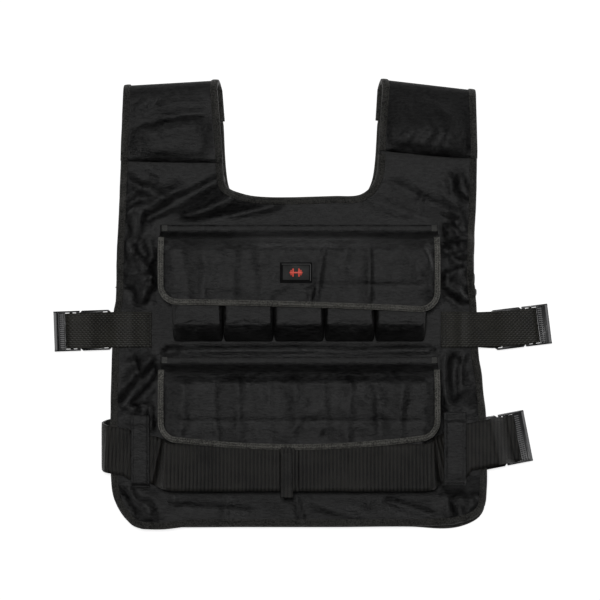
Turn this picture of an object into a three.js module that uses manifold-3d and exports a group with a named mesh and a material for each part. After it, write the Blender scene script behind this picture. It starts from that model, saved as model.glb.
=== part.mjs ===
// Weighted vest lying on its back: X to its right in plan, Y from the hem to the shoulders, Z up.
import * as THREE from 'three';
import { mergeVertices } from 'three/addons/utils/BufferGeometryUtils.js';
import Module from 'manifold-3d';

const wasm = await Module();
wasm.setup();

// Pouches and the weights in them, in millimetres
const pouchCount = 5;
const pouchPitch = 54;
const pouchLength = 107;
const pouchDepth = 28;
const pouchWall = 1.5;
const pouchSeamGap = 0.6;
const footSlope = 19;

// The body of the vest
const sideMargin = 65;
const hemMargin = 58.3;
const rowGap = 34.3;
const chestLength = 47.7;
const neckDepth = 128.7;
const panelThickness = 4;
const hollowHeight = 12;
const edgeLift = 6.8;
const foldHeight = 7;

// Flaps
const flapThickness = 2.5;
const flapOverhang = 13.5;
const flapRun = 12;
const flangeWidth = 7.5;
const upperFlapDrop = 68.5;
const lowerFlapDrop = 76;
const flapCorner = 20;
const flapDroop = 9;

// Tape, webbing and belt
const tapeThickness = 1.2;
const panelTapeWidth = 9;
const flapTapeWidth = 7;
const webbingWidth = 38;
const webbingThickness = 1.8;
const beltWidth = 50;
const beltThickness = 2.5;
const joinOverlap = 15;
const loopThickness = 1.5;
const leftLoopWidth = 20;
const rightLoopWidth = 24;
const loopTab = 12;
const loopSlack = 7;
const strapSewnLength = 38;
const backStrapSewnLength = 30;

// Buckles: how far the socket and the ladder end reach along the strap
const socketLength = 34;
const ladderLength = 28;
const buckleRail = 2.6;
const sideBuckleHeight = 11;
const beltBuckleHeight = 12;
const barWidth = 4;
const barHeight = 4;
const slotLength = 5;
const gripLength = 12;
const buckleWall = 2;
const buckleClearance = 0.4;

// The rubber patch on the upper flap
const patchWidth = 34;
const patchHeight = 21.5;
const patchThickness = 1.6;
const patchRim = 2;
const patchRimHeight = 0.7;
const emblemHeight = 0.6;

// Clearance kept between pieces that touch
const gap = 0.3;
const seat = 0.5;

// Sizes that follow from the ones above
const rowWidth = pouchCount * pouchPitch;
const halfHem = rowWidth / 2 + sideMargin;
const lowerFoot = hemMargin;
const lowerHead = lowerFoot + pouchLength;
const upperFoot = lowerHead + rowGap;
const upperHead = upperFoot + pouchLength;
const neckLine = upperHead + chestLength;
const vestLength = neckLine + neckDepth;
const flapHalf = rowWidth / 2 + flapOverhang;
const chestZ = panelThickness + hollowHeight;
const edgeZ = panelThickness + edgeLift;
const panelTop = chestZ + panelThickness;
const pouchBase = panelTop + gap;
const pouchTop = pouchBase + pouchDepth;
const tapeStep = gap + tapeThickness;
const flapLow = pouchTop + tapeStep + gap;
const flapTop = flapLow + flapThickness;
const shoulderLow = edgeZ + panelThickness + tapeStep + gap;
const beltLine = lowerHead - lowerFlapDrop - tapeStep - 1 - beltWidth / 2;
const sideStrapLine = upperFoot + 14;

// The belt and its buckle pass under the back panel, which rises over them
const rearBeltLine = beltLine + 30;
const bandHalf = beltWidth / 2 + 9;
const bandRamp = 26;
const bandBottom = rearBeltLine - bandHalf - bandRamp;
const bandTop = rearBeltLine + bandHalf + bandRamp;

// Grid that the panels are laid on: across as shares of half the hem, up in millimetres
const rowEdge = (rowWidth / 2 + 4) / halfHem;
const rowClear = (flapHalf + 3) / halfHem;
const flangeTop = upperHead + flapRun + flangeWidth + 2;
const gridAcross = [
  -1.07, -0.965, -0.86, -rowClear, -rowEdge, -0.5, -0.33, -0.17, 0,
  0.17, 0.33, 0.5, rowEdge, rowClear, 0.86, 0.965, 1.07,
];
const gridUp = [
  -10, bandBottom, bandBottom + bandRamp, bandTop - bandRamp, bandTop,
  0.37 * vestLength, sideStrapLine - webbingWidth / 2 - 4, sideStrapLine + webbingWidth / 2 + 4,
  0.55 * vestLength, 0.61 * vestLength, flangeTop,
  ...[0.715, 0.755, 0.8, 0.88, 0.98].map((share) => share * vestLength),
];

// Outline of the front panel up to the stubs under the shoulder pieces,
// as shares of half the hem width and of the vest's length
const frontOutline = [
  { across: -0.926, up: 0.023 },
  { across: -0.872, up: 0.006 },
  { across: -0.744, up: 0.001 },
  { across: -0.594, up: 0.007 },
  { across: 0.669, up: 0.009 },
  { across: 0.867, up: 0.015 },
  { across: 0.958, up: 0.031 },
  { across: 0.993, up: 0.051 },
  { across: 1.0, up: 0.08 },
  { across: 0.99, up: 0.245 },
  { across: 0.979, up: 0.331 },
  { across: 0.956, up: 0.395 },
  { across: 0.947, up: 0.502 },
  { across: 0.934, up: 0.56 },
  { across: 0.936, up: 0.644 },
  { across: 0.947, up: 0.743 },
  { across: 0.95, up: 0.843 },
  { across: 0.946, up: 0.935 },
  { across: 0.45, up: 0.957 },
  { across: 0.433, up: 0.863 },
  { across: 0.424, up: 0.79 },
  { across: 0.387, up: 0.757 },
  { across: 0.32, up: 0.739 },
  { across: 0.19, up: 0.737 },
  { across: -0.09, up: 0.734 },
  { across: -0.25, up: 0.737 },
  { across: -0.34, up: 0.746 },
  { across: -0.395, up: 0.76 },
  { across: -0.411, up: 0.78 },
  { across: -0.425, up: 0.883 },
  { across: -0.443, up: 0.957 },
  { across: -0.94, up: 0.945 },
  { across: -0.952, up: 0.819 },
  { across: -0.96, up: 0.732 },
  { across: -0.974, up: 0.606 },
  { across: -0.979, up: 0.508 },
  { across: -0.991, up: 0.482 },
  { across: -1.0, up: 0.387 },
  { across: -1.006, up: 0.24 },
  { across: -1.0, up: 0.09 },
  { across: -0.974, up: 0.052 },
];

// Outline of the back panel up to the shoulder seams, in the same shares
const backOutline = [
  { across: -0.92, up: 0.025 },
  { across: -0.86, up: 0.008 },
  { across: -0.744, up: 0.003 },
  { across: 0.6, up: 0.004 },
  { across: 0.781, up: 0.0 },
  { across: 0.88, up: 0.006 },
  { across: 0.965, up: 0.024 },
  { across: 0.996, up: 0.05 },
  { across: 0.998, up: 0.245 },
  { across: 0.962, up: 0.395 },
  { across: 0.94, up: 0.544 },
  { across: 0.94, up: 0.7 },
  { across: 0.946, up: 0.95 },
  { across: 0.42, up: 0.95 },
  { across: 0.408, up: 0.79 },
  { across: 0.37, up: 0.748 },
  { across: 0.3, up: 0.728 },
  { across: -0.25, up: 0.726 },
  { across: -0.36, up: 0.742 },
  { across: -0.395, up: 0.78 },
  { across: -0.415, up: 0.95 },
  { across: -0.94, up: 0.95 },
  { across: -0.962, up: 0.65 },
  { across: -0.985, up: 0.48 },
  { across: -1.0, up: 0.3 },
  { across: -0.998, up: 0.08 },
  { across: -0.97, up: 0.05 },
];

// Folds of the front panel: both ends in the same shares, the half width as a share
// of half the hem width, and the rise as a share of foldHeight
const chestFolds = [
  { fromAcross: -0.42, fromUp: 0.766, toAcross: -0.78, toUp: 0.7, width: 0.055, rise: -0.55 },
  { fromAcross: -0.3, fromUp: 0.728, toAcross: -0.62, toUp: 0.67, width: 0.07, rise: 0.8 },
  { fromAcross: -0.92, fromUp: 0.7, toAcross: -0.8, toUp: 0.735, width: 0.05, rise: 0.5 },
  { fromAcross: -0.9, fromUp: 0.62, toAcross: -0.82, toUp: 0.555, width: 0.055, rise: 0.75 },
  { fromAcross: -0.72, fromUp: 0.375, toAcross: -0.92, toUp: 0.285, width: 0.055, rise: -0.8 },
  { fromAcross: 0.44, fromUp: 0.72, toAcross: 0.74, toUp: 0.655, width: 0.07, rise: 0.7 },
  { fromAcross: 0.76, fromUp: 0.62, toAcross: 0.9, toUp: 0.6, width: 0.05, rise: 0.6 },
  { fromAcross: 0.78, fromUp: 0.52, toAcross: 0.9, toUp: 0.55, width: 0.05, rise: -0.5 },
  { fromAcross: 0.84, fromUp: 0.36, toAcross: 0.95, toUp: 0.345, width: 0.05, rise: 0.5 },
  { fromAcross: 0.8, fromUp: 0.02, toAcross: 0.86, toUp: 0.08, width: 0.055, rise: 0.5 },
];

// Folds of the shoulder pieces: across from the outer edge, along from the hem to the top
const leftShoulderFolds = [
  { fromAcross: 0.12, fromAlong: 0.4, toAcross: 0.85, toAlong: 0.6, width: 0.13, rise: 0.7 },
  { fromAcross: 0.3, fromAlong: 0.9, toAcross: 0.15, toAlong: 0.55, width: 0.1, rise: -0.45 },
];
const rightShoulderFolds = [
  { fromAcross: 0.9, fromAlong: 0.15, toAcross: 0.15, toAlong: 0.3, width: 0.12, rise: 0.75 },
  { fromAcross: 0.85, fromAlong: 0.42, toAcross: 0.2, toAlong: 0.5, width: 0.1, rise: -0.45 },
];

// Plan of each shoulder piece: edges at its front hem and at the top fold
const leftShoulder = {
  side: -1, folds: leftShoulderFolds,
  hemOuter: 0.952, hemInner: 0.414, topOuter: 0.936, topInner: 0.449,
  hemUpOuter: 0.818, hemUpInner: 0.814, topUpOuter: 0.986, topUpInner: 0.998,
};
const rightShoulder = {
  side: 1, folds: rightShoulderFolds,
  hemOuter: 0.95, hemInner: 0.433, topOuter: 0.942, topInner: 0.457,
  hemUpOuter: 0.823, hemUpInner: 0.841, topUpOuter: 0.976, topUpInner: 1.0,
};
const backLegReach = 0.09;
const backLegSpread = 0.03;

// Materials of the pieces
const nylon = new THREE.MeshStandardMaterial({ color: 0x2a2a2d, roughness: 0.82, metalness: 0 });
const tape = new THREE.MeshStandardMaterial({ color: 0x3a3a38, roughness: 0.9, metalness: 0 });
const elastic = new THREE.MeshStandardMaterial({ color: 0x2e2c2b, roughness: 0.88, metalness: 0 });
const webbing = new THREE.MeshStandardMaterial({ color: 0x343130, roughness: 0.85, metalness: 0 });
const plastic = new THREE.MeshStandardMaterial({ color: 0x3b3c3e, roughness: 0.45, metalness: 0 });
const iron = new THREE.MeshStandardMaterial({ color: 0x55585c, roughness: 0.6, metalness: 0.8 });
const rubber = new THREE.MeshStandardMaterial({ color: 0x1d1d1f, roughness: 0.6, metalness: 0 });
const redRubber = new THREE.MeshStandardMaterial({ color: 0xd8463c, roughness: 0.5, metalness: 0 });

const vest = new THREE.Group();

function addPiece(name, geometry, material, parent = vest) {
  const piece = new THREE.Mesh(geometry, material);
  piece.name = name;
  parent.add(piece);
  return piece;
}

// Solids: a closed geometry goes in, joins and cuts are made, and a geometry comes out
function solidOf(geometry) {
  const bare = geometry.clone();
  bare.deleteAttribute('normal');
  bare.deleteAttribute('uv');
  const merged = mergeVertices(bare, 1e-4);
  return new wasm.Manifold(new wasm.Mesh({
    numProp: 3,
    vertProperties: new Float32Array(merged.attributes.position.array),
    triVerts: new Uint32Array(merged.index.array),
  }));
}

// Edges shorter than this are closed up after a cut
const shortestEdge = 0.02;

function closeShortEdges(places, corners) {
  const target = places.map((_, vertex) => vertex);
  const follow = (vertex) => {
    let end = vertex;
    while (target[end] !== end) {
      end = target[end];
    }
    return end;
  };
  for (let side = 0; side < corners.length; side += 1) {
    const next = side % 3 === 2 ? side - 2 : side + 1;
    const from = follow(corners[side]);
    const to = follow(corners[next]);
    if (from !== to && places[from].distanceTo(places[to]) < shortestEdge) {
      target[to] = from;
    }
  }
  const kept = [];
  for (let face = 0; face < corners.length; face += 3) {
    const [a, b, c] = [0, 1, 2].map((corner) => follow(corners[face + corner]));
    if (a !== b && b !== c && c !== a) {
      kept.push(a, b, c);
    }
  }
  return kept;
}

function geometryOf(solid) {
  const mesh = solid.getMesh();
  const places = [];
  for (let vertex = 0; vertex < mesh.numVert; vertex += 1) {
    const start = vertex * mesh.numProp;
    places.push(new THREE.Vector3(...mesh.vertProperties.slice(start, start + 3)));
  }
  const geometry = new THREE.BufferGeometry();
  const flat = places.flatMap((place) => [place.x, place.y, place.z]);
  geometry.setAttribute('position', new THREE.Float32BufferAttribute(flat, 3));
  geometry.setIndex(closeShortEdges(places, Array.from(mesh.triVerts)));
  geometry.computeVertexNormals();
  return geometry;
}

function block(x0, x1, y0, y1, z0, z1) {
  const geometry = new THREE.BoxGeometry(x1 - x0, y1 - y0, z1 - z0);
  geometry.translate((x0 + x1) / 2, (y0 + y1) / 2, (z0 + z1) / 2);
  return solidOf(geometry);
}

// Prisms for cuts start below the floor and end above all that lies on the panels
const prismLow = -pouchWall * 4;
const prismHigh = pouchTop + pouchLength;

function prism(points, low = prismLow, high = prismHigh) {
  const geometry = new THREE.ExtrudeGeometry(new THREE.Shape(points), {
    depth: high - low, bevelEnabled: false,
  });
  geometry.translate(0, 0, low);
  return solidOf(geometry);
}

// Moves a closed outline outwards, or inwards where the distance is negative
function offsetOutline(points, distance) {
  return points.map((point, index) => {
    const before = points[(index + points.length - 1) % points.length];
    const after = points[(index + 1) % points.length];
    const into = point.clone().sub(before).normalize();
    const out = after.clone().sub(point).normalize();
    const normal = new THREE.Vector2(into.y + out.y, -into.x - out.x).normalize();
    const miter = 1 / Math.max(0.5, Math.sqrt((1 + into.dot(out)) / 2));
    return point.clone().addScaledVector(normal, distance * miter);
  });
}

function smooth(value, low, high) {
  const share = THREE.MathUtils.clamp((value - low) / (high - low), 0, 1);
  return share * share * (3 - 2 * share);
}

const lerp = THREE.MathUtils.lerp;

// A sheet of even thickness: place(column, row) is its middle surface
function sheetSolid(columns, rows, place, thickness) {
  const grid = columns.map((column) => rows.map((row) => place(column, row)));
  const positions = [];
  const index = [];
  const faceCount = columns.length * rows.length;
  const at = (column, row, face) => face * faceCount + column * rows.length + row;
  for (const face of [1, -1]) {
    for (let c = 0; c < columns.length; c += 1) {
      for (let r = 0; r < rows.length; r += 1) {
        const left = grid[Math.max(c - 1, 0)][r];
        const right = grid[Math.min(c + 1, columns.length - 1)][r];
        const near = grid[c][Math.max(r - 1, 0)];
        const far = grid[c][Math.min(r + 1, rows.length - 1)];
        const normal = right.clone().sub(left).cross(far.clone().sub(near)).normalize();
        const point = grid[c][r].clone().addScaledVector(normal, face * thickness / 2);
        positions.push(point.x, point.y, point.z);
      }
    }
  }
  for (let c = 0; c < columns.length - 1; c += 1) {
    for (let r = 0; r < rows.length - 1; r += 1) {
      index.push(at(c, r, 0), at(c + 1, r, 0), at(c + 1, r + 1, 0));
      index.push(at(c, r, 0), at(c + 1, r + 1, 0), at(c, r + 1, 0));
      index.push(at(c, r, 1), at(c + 1, r + 1, 1), at(c + 1, r, 1));
      index.push(at(c, r, 1), at(c, r + 1, 1), at(c + 1, r + 1, 1));
    }
  }
  const lastColumn = columns.length - 1;
  const lastRow = rows.length - 1;
  for (let c = 0; c < lastColumn; c += 1) {
    index.push(at(c, 0, 1), at(c + 1, 0, 1), at(c + 1, 0, 0), at(c, 0, 1), at(c + 1, 0, 0), at(c, 0, 0));
    index.push(at(c, lastRow, 0), at(c + 1, lastRow, 0), at(c + 1, lastRow, 1));
    index.push(at(c, lastRow, 0), at(c + 1, lastRow, 1), at(c, lastRow, 1));
  }
  for (let r = 0; r < lastRow; r += 1) {
    index.push(at(0, r, 0), at(0, r + 1, 0), at(0, r + 1, 1), at(0, r, 0), at(0, r + 1, 1), at(0, r, 1));
    index.push(at(lastColumn, r, 1), at(lastColumn, r + 1, 1), at(lastColumn, r + 1, 0));
    index.push(at(lastColumn, r, 1), at(lastColumn, r + 1, 0), at(lastColumn, r, 0));
  }
  const geometry = new THREE.BufferGeometry();
  geometry.setAttribute('position', new THREE.Float32BufferAttribute(positions, 3));
  geometry.setIndex(index);
  return solidOf(geometry);
}

function evenly(from, to, count) {
  return Array.from({ length: count + 1 }, (_, step) => lerp(from, to, step / count));
}

// Height of a table of folds at a point, both given in the same shares
function foldRise(folds, x, y, aspect) {
  let total = 0;
  for (const fold of folds) {
    const fromY = (fold.fromUp ?? fold.fromAlong) * aspect;
    const toY = (fold.toUp ?? fold.toAlong) * aspect;
    const along = new THREE.Vector2(fold.toAcross - fold.fromAcross, toY - fromY);
    const length = along.length();
    along.normalize();
    const away = new THREE.Vector2(x - fold.fromAcross, y * aspect - fromY);
    const reach = away.dot(along) / length;
    const past = Math.max(0, -reach, reach - 1) * length;
    const side = Math.abs(away.cross(along));
    total += fold.rise * Math.exp(-(side * side + past * past) / (fold.width * fold.width));
  }
  return total * foldHeight;
}

// Surfaces of the two panels
const buckleHump = beltBuckleHeight + seat + tapeStep;

function overBand(y) {
  return smooth(y, bandBottom, bandBottom + bandRamp) * (1 - smooth(y, bandTop - bandRamp, bandTop));
}

const humpRise = (x, y) => buckleHump * smooth(x, halfHem * 0.7, halfHem * 0.86) * overBand(y);
const beltRise = (y) => (beltThickness + seat + tapeStep) * overBand(y);
const backLow = (x, y) => Math.max(beltRise(y), humpRise(x, y));

function frontLow(x, y) {
  const sideways = 1 - smooth(Math.abs(x), flapHalf + 5, halfHem * 0.965);
  const upwards = 1 - smooth(y, neckLine - 12, neckLine + 28);
  const swell = (chestZ - edgeZ) * sideways * upwards;
  const clearOfRow = Math.max(
    smooth(Math.abs(x), rowClear * halfHem, rowClear * halfHem + 11),
    smooth(y, flangeTop, flangeTop + 12),
    1 - smooth(y, lowerFoot - 30, lowerFoot - 18),
  );
  const clearOfEdge = 1 - smooth(Math.abs(x), halfHem * 0.86, halfHem * 0.96);
  const clearOfStub = 1 - smooth(y, vestLength * 0.765, vestLength * 0.8);
  const folds = foldRise(chestFolds, x / halfHem, y / vestLength, vestLength / halfHem);
  const strap = 1 - smooth(Math.abs(y - sideStrapLine), webbingWidth / 2 + 3, webbingWidth / 2 + 18);
  const kept = clearOfRow * (0.35 + 0.65 * clearOfEdge) * clearOfStub * (1 - overBand(y)) * (1 - strap);
  const lifted = Math.max(humpRise(x, y), beltRise(y) * (1 - sideways));
  return edgeZ + swell + lifted + Math.max(-edgeLift * 0.2, folds * kept);
}

const frontTop = (x, y) => frontLow(x, y) + panelThickness;

function planOf(outline) {
  return outline.map((row) => new THREE.Vector2(row.across * halfHem, row.up * vestLength));
}

// Where an edge of an outline lies at a height, on one side
function edgeAt(outline, side, y) {
  const points = planOf(outline).filter((point) => point.x * side > halfHem * 0.9);
  points.sort((a, b) => a.y - b.y);
  for (let step = 1; step < points.length; step += 1) {
    if (points[step].y >= y) {
      const share = (y - points[step - 1].y) / (points[step].y - points[step - 1].y);
      return lerp(points[step - 1].x, points[step].x, share);
    }
  }
  return points[points.length - 1].x;
}

// Height of the shoulder piece's front hem at a place across the vest
function shoulderHemAt(plan, x) {
  const share = (Math.abs(x) / halfHem - plan.hemOuter) / (plan.hemInner - plan.hemOuter);
  return vestLength * lerp(plan.hemUpOuter, plan.hemUpInner, share);
}

const hemCut = 8;

function shoulderCover(plan) {
  const outer = plan.side * halfHem * 1.1;
  const inner = plan.side * halfHem * 0.3;
  const points = [
    new THREE.Vector2(outer, shoulderHemAt(plan, outer) - gap),
    new THREE.Vector2(outer, vestLength + hemCut),
    new THREE.Vector2(inner, vestLength + hemCut),
    new THREE.Vector2(inner, shoulderHemAt(plan, inner) - gap),
  ];
  return prism(plan.side < 0 ? points.reverse() : points);
}

function panelSheet(middle, extra) {
  const place = (across, y) => new THREE.Vector3(across * halfHem, y, middle(across * halfHem, y));
  return sheetSolid(gridAcross, gridUp, place, panelThickness + 2 * extra);
}

// Tape folded round an edge, with the panel that it holds left clear
function tapeSolid(outline, thick, grown, width) {
  const band = prism(offsetOutline(outline, tapeStep)).subtract(prism(offsetOutline(outline, -width)));
  const held = grown.intersect(prism(offsetOutline(outline, gap)));
  return thick.intersect(band).subtract(held);
}

const aboveFloor = block(-halfHem * 2, halfHem * 2, -vestLength, vestLength * 2, 0, prismHigh);
const neckWindow = block(
  -halfHem * 0.66, halfHem * 0.66, upperHead + 12, vestLength * 1.2, prismLow, prismHigh,
);

function buildFrontPanel() {
  const middle = (x, y) => frontLow(x, y) + panelThickness / 2;
  const outline = planOf(frontOutline);
  const sheet = panelSheet(middle, 0);
  addPiece('front_panel', geometryOf(sheet.intersect(prism(outline))), nylon);
  const thick = panelSheet(middle, tapeStep);
  const grown = panelSheet(middle, gap);
  const ring = tapeSolid(outline, thick, grown, panelTapeWidth)
    .subtract(shoulderCover(leftShoulder))
    .subtract(shoulderCover(rightShoulder));
  addPiece('front_edge_binding', geometryOf(ring.subtract(neckWindow)), tape);
  addPiece('front_neck_binding', geometryOf(ring.intersect(neckWindow)), tape);
}

function buildBackPanel() {
  const middle = (x, y) => backLow(x, y) + panelThickness / 2;
  const outline = planOf(backOutline);
  const sheet = panelSheet(middle, 0);
  const seams = [leftShoulder, rightShoulder].map((plan) => shoulderSeam(plan));
  const cut = (solid) => seams.reduce((rest, seam) => rest.subtract(seam), solid);
  addPiece('back_panel', geometryOf(cut(sheet.intersect(prism(outline)).intersect(aboveFloor))), nylon);
  const thick = panelSheet(middle, tapeStep);
  const grown = panelSheet(middle, gap);
  const ring = cut(tapeSolid(outline, thick, grown, panelTapeWidth).intersect(aboveFloor));
  addPiece('back_edge_binding', geometryOf(ring.subtract(neckWindow)), tape);
  addPiece('back_neck_binding', geometryOf(ring.intersect(neckWindow)), tape);
}

// The part of the plan above a shoulder seam, where the back panel ends
function shoulderSeam(plan) {
  const height = (across) => {
    const share = (across - plan.topOuter) / (plan.topInner - backLegSpread - plan.topOuter);
    return vestLength * (lerp(plan.topUpOuter, plan.topUpInner, share) - backLegReach) - seat;
  };
  const outer = 1.1;
  const inner = 0.3;
  const points = [
    new THREE.Vector2(plan.side * outer * halfHem, height(outer)),
    new THREE.Vector2(plan.side * outer * halfHem, vestLength + hemCut),
    new THREE.Vector2(plan.side * inner * halfHem, vestLength + hemCut),
    new THREE.Vector2(plan.side * inner * halfHem, height(inner)),
  ];
  return prism(plan.side < 0 ? points.reverse() : points);
}

// A shoulder piece lies on the front stub, folds over the top and meets the back panel
const shoulderLegRows = 4;
const shoulderArcRows = 4;
const shoulderRows = evenly(0, shoulderLegRows + shoulderArcRows + 1, shoulderLegRows + shoulderArcRows + 1);

function shoulderPlace(plan, across, row) {
  const frontMiddle = shoulderLow + panelThickness / 2;
  const backMiddle = panelThickness / 2;
  const radius = (frontMiddle - backMiddle) / 2;
  const hemY = vestLength * lerp(plan.hemUpOuter, plan.hemUpInner, across);
  const topY = vestLength * lerp(plan.topUpOuter, plan.topUpInner, across);
  const foldY = topY - radius - panelThickness / 2;
  let y = lerp(hemY, foldY, Math.min(row / shoulderLegRows, 1));
  let z = frontMiddle;
  let spread = 0;
  if (row > shoulderLegRows) {
    const turn = Math.min((row - shoulderLegRows) / shoulderArcRows, 1);
    const angle = Math.PI * (0.5 - turn);
    y = foldY + radius * Math.cos(angle);
    z = backMiddle + radius + radius * Math.sin(angle);
    spread = turn * backLegSpread;
  }
  if (row > shoulderLegRows + shoulderArcRows) {
    y = topY - backLegReach * vestLength;
    z = backMiddle;
  }
  const along = THREE.MathUtils.clamp((y - hemY) / (topY - hemY), 0, 1);
  const outerX = lerp(plan.hemOuter, plan.topOuter, along);
  const innerX = lerp(plan.hemInner, plan.topInner, along) - spread;
  const inside = smooth(across, 0.1, 0.3) * (1 - smooth(across, 0.7, 0.9));
  const onLeg = 1 - smooth(row, shoulderLegRows - 1, shoulderLegRows);
  z += Math.max(0, foldRise(plan.folds, across, along, 1)) * inside * onLeg;
  return new THREE.Vector3(plan.side * halfHem * lerp(outerX, innerX, across), y, z);
}

function buildShoulder(name, plan) {
  const width = halfHem * (plan.hemOuter - plan.hemInner);
  const place = (across, row) => shoulderPlace(plan, plan.side < 0 ? across : 1 - across, row);
  const tapeShare = panelTapeWidth / width;
  const columns = [0, tapeShare, 0.3, 0.5, 0.7, 1 - tapeShare, 1];
  const body = sheetSolid(columns, shoulderRows, place, panelThickness).intersect(aboveFloor);
  addPiece(`${name}_shoulder`, geometryOf(body), nylon);
  const lowTape = shoulderTape(place, [0, tapeShare]);
  const highTape = shoulderTape(place, [1, 1 - tapeShare]);
  addPiece(`${name}_shoulder_outer_binding`, plan.side < 0 ? lowTape : highTape, tape);
  addPiece(`${name}_shoulder_inner_binding`, plan.side < 0 ? highTape : lowTape, tape);
}

// Tape folded round one edge of a shoulder piece: a C section carried along the edge
function shoulderTape(place, [edge, inside]) {
  const panelHalf = panelThickness / 2;
  const inward = edge < inside ? 1 : -1;
  const section = [
    { out: inside, rise: panelHalf + gap }, { out: gap, rise: panelHalf + gap },
    { out: gap, rise: -panelHalf - gap }, { out: inside, rise: -panelHalf - gap },
    { out: inside, rise: -panelHalf - tapeStep }, { out: tapeStep, rise: -panelHalf - tapeStep },
    { out: tapeStep, rise: panelHalf + tapeStep }, { out: inside, rise: panelHalf + tapeStep },
  ];
  const rings = shoulderRows.map((row, step) => {
    const before = shoulderRows[Math.max(step - 1, 0)];
    const after = shoulderRows[Math.min(step + 1, shoulderRows.length - 1)];
    const rim = place(edge, row);
    const held = place(inside, row);
    const outwards = rim.clone().sub(held).normalize();
    const along = place(edge, after).sub(place(edge, before));
    const normal = outwards.clone().multiplyScalar(-inward).cross(along).normalize();
    return section.map(({ out, rise }) => (
      (out === inside ? held.clone() : rim.clone().addScaledVector(outwards, out)).addScaledVector(normal, rise)
    ));
  });
  if (inward < 0) {
    rings.reverse();
  }
  const flatSection = section.map(({ out, rise }) => (
    new THREE.Vector2(out === inside ? -panelTapeWidth : out, rise)
  ));
  return geometryOf(loftSolid(rings, flatSection).intersect(aboveFloor));
}

// Pouches: sections from the panel up, insets as shares of the pitch and of footSlope
const pouchSections = [
  { height: 0, side: 0, head: 0, foot: 0 },
  { height: 0.4, side: -0.002, head: 0.01, foot: 0.3 },
  { height: 0.82, side: 0.03, head: 0.03, foot: 0.72 },
  { height: 1, side: 0.095, head: 0.08, foot: 1 },
];
const pouchCornerShare = 0.12;

// A closed body through rings that have as many points each, with their flat section for the ends
function loftSolid(rings, section) {
  const positions = rings.flat().flatMap((point) => [point.x, point.y, point.z]);
  const count = rings[0].length;
  const index = [];
  for (let ring = 0; ring < rings.length - 1; ring += 1) {
    for (let step = 0; step < count; step += 1) {
      const next = (step + 1) % count;
      const low = ring * count;
      const high = low + count;
      index.push(low + step, low + next, high + next, low + step, high + next, high + step);
    }
  }
  const last = (rings.length - 1) * count;
  for (const [a, b, c] of THREE.ShapeUtils.triangulateShape(section, [])) {
    index.push(a, c, b, last + a, last + b, last + c);
  }
  const geometry = new THREE.BufferGeometry();
  geometry.setAttribute('position', new THREE.Float32BufferAttribute(positions, 3));
  geometry.setIndex(index);
  return solidOf(geometry);
}

function pouchLoft(inset, low, high) {
  const half = (pouchPitch - pouchSeamGap) / 2;
  const corner = pouchPitch * pouchCornerShare;
  const rings = pouchSections.map((section) => {
    const x = half - section.side * pouchPitch - inset;
    const foot = section.foot * footSlope + inset;
    const head = pouchLength - section.head * pouchPitch - inset;
    const z = lerp(low, high, section.height);
    return [
      new THREE.Vector3(-x + corner, foot, z), new THREE.Vector3(x - corner, foot, z),
      new THREE.Vector3(x, foot + corner, z), new THREE.Vector3(x, head - corner, z),
      new THREE.Vector3(x - corner, head, z), new THREE.Vector3(-x + corner, head, z),
      new THREE.Vector3(-x, head - corner, z), new THREE.Vector3(-x, foot + corner, z),
    ];
  });
  return loftSolid(rings, rings[0].map((point) => new THREE.Vector2(point.x, point.y)));
}

function buildPouchRow(row, foot) {
  const outer = pouchLoft(0, pouchBase, pouchTop);
  const inner = pouchLoft(pouchWall, pouchBase - 1, pouchTop - pouchWall);
  const pouch = geometryOf(outer.subtract(inner));
  const under = block(-pouchPitch, pouchPitch, -pouchLength, pouchLength * 2, pouchBase - 5, pouchBase);
  const bar = pouchLoft(pouchWall + gap, pouchBase - 1, pouchTop - pouchWall - gap);
  const weight = geometryOf(bar.subtract(under));
  for (let count = 0; count < pouchCount; count += 1) {
    const x = (count - (pouchCount - 1) / 2) * pouchPitch;
    addPiece(`${row}_pouch_${count + 1}`, pouch, nylon).position.set(x, foot, 0);
    addPiece(`${row}_weight_${count + 1}`, weight, iron).position.set(x, foot, 0);
  }
}

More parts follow.
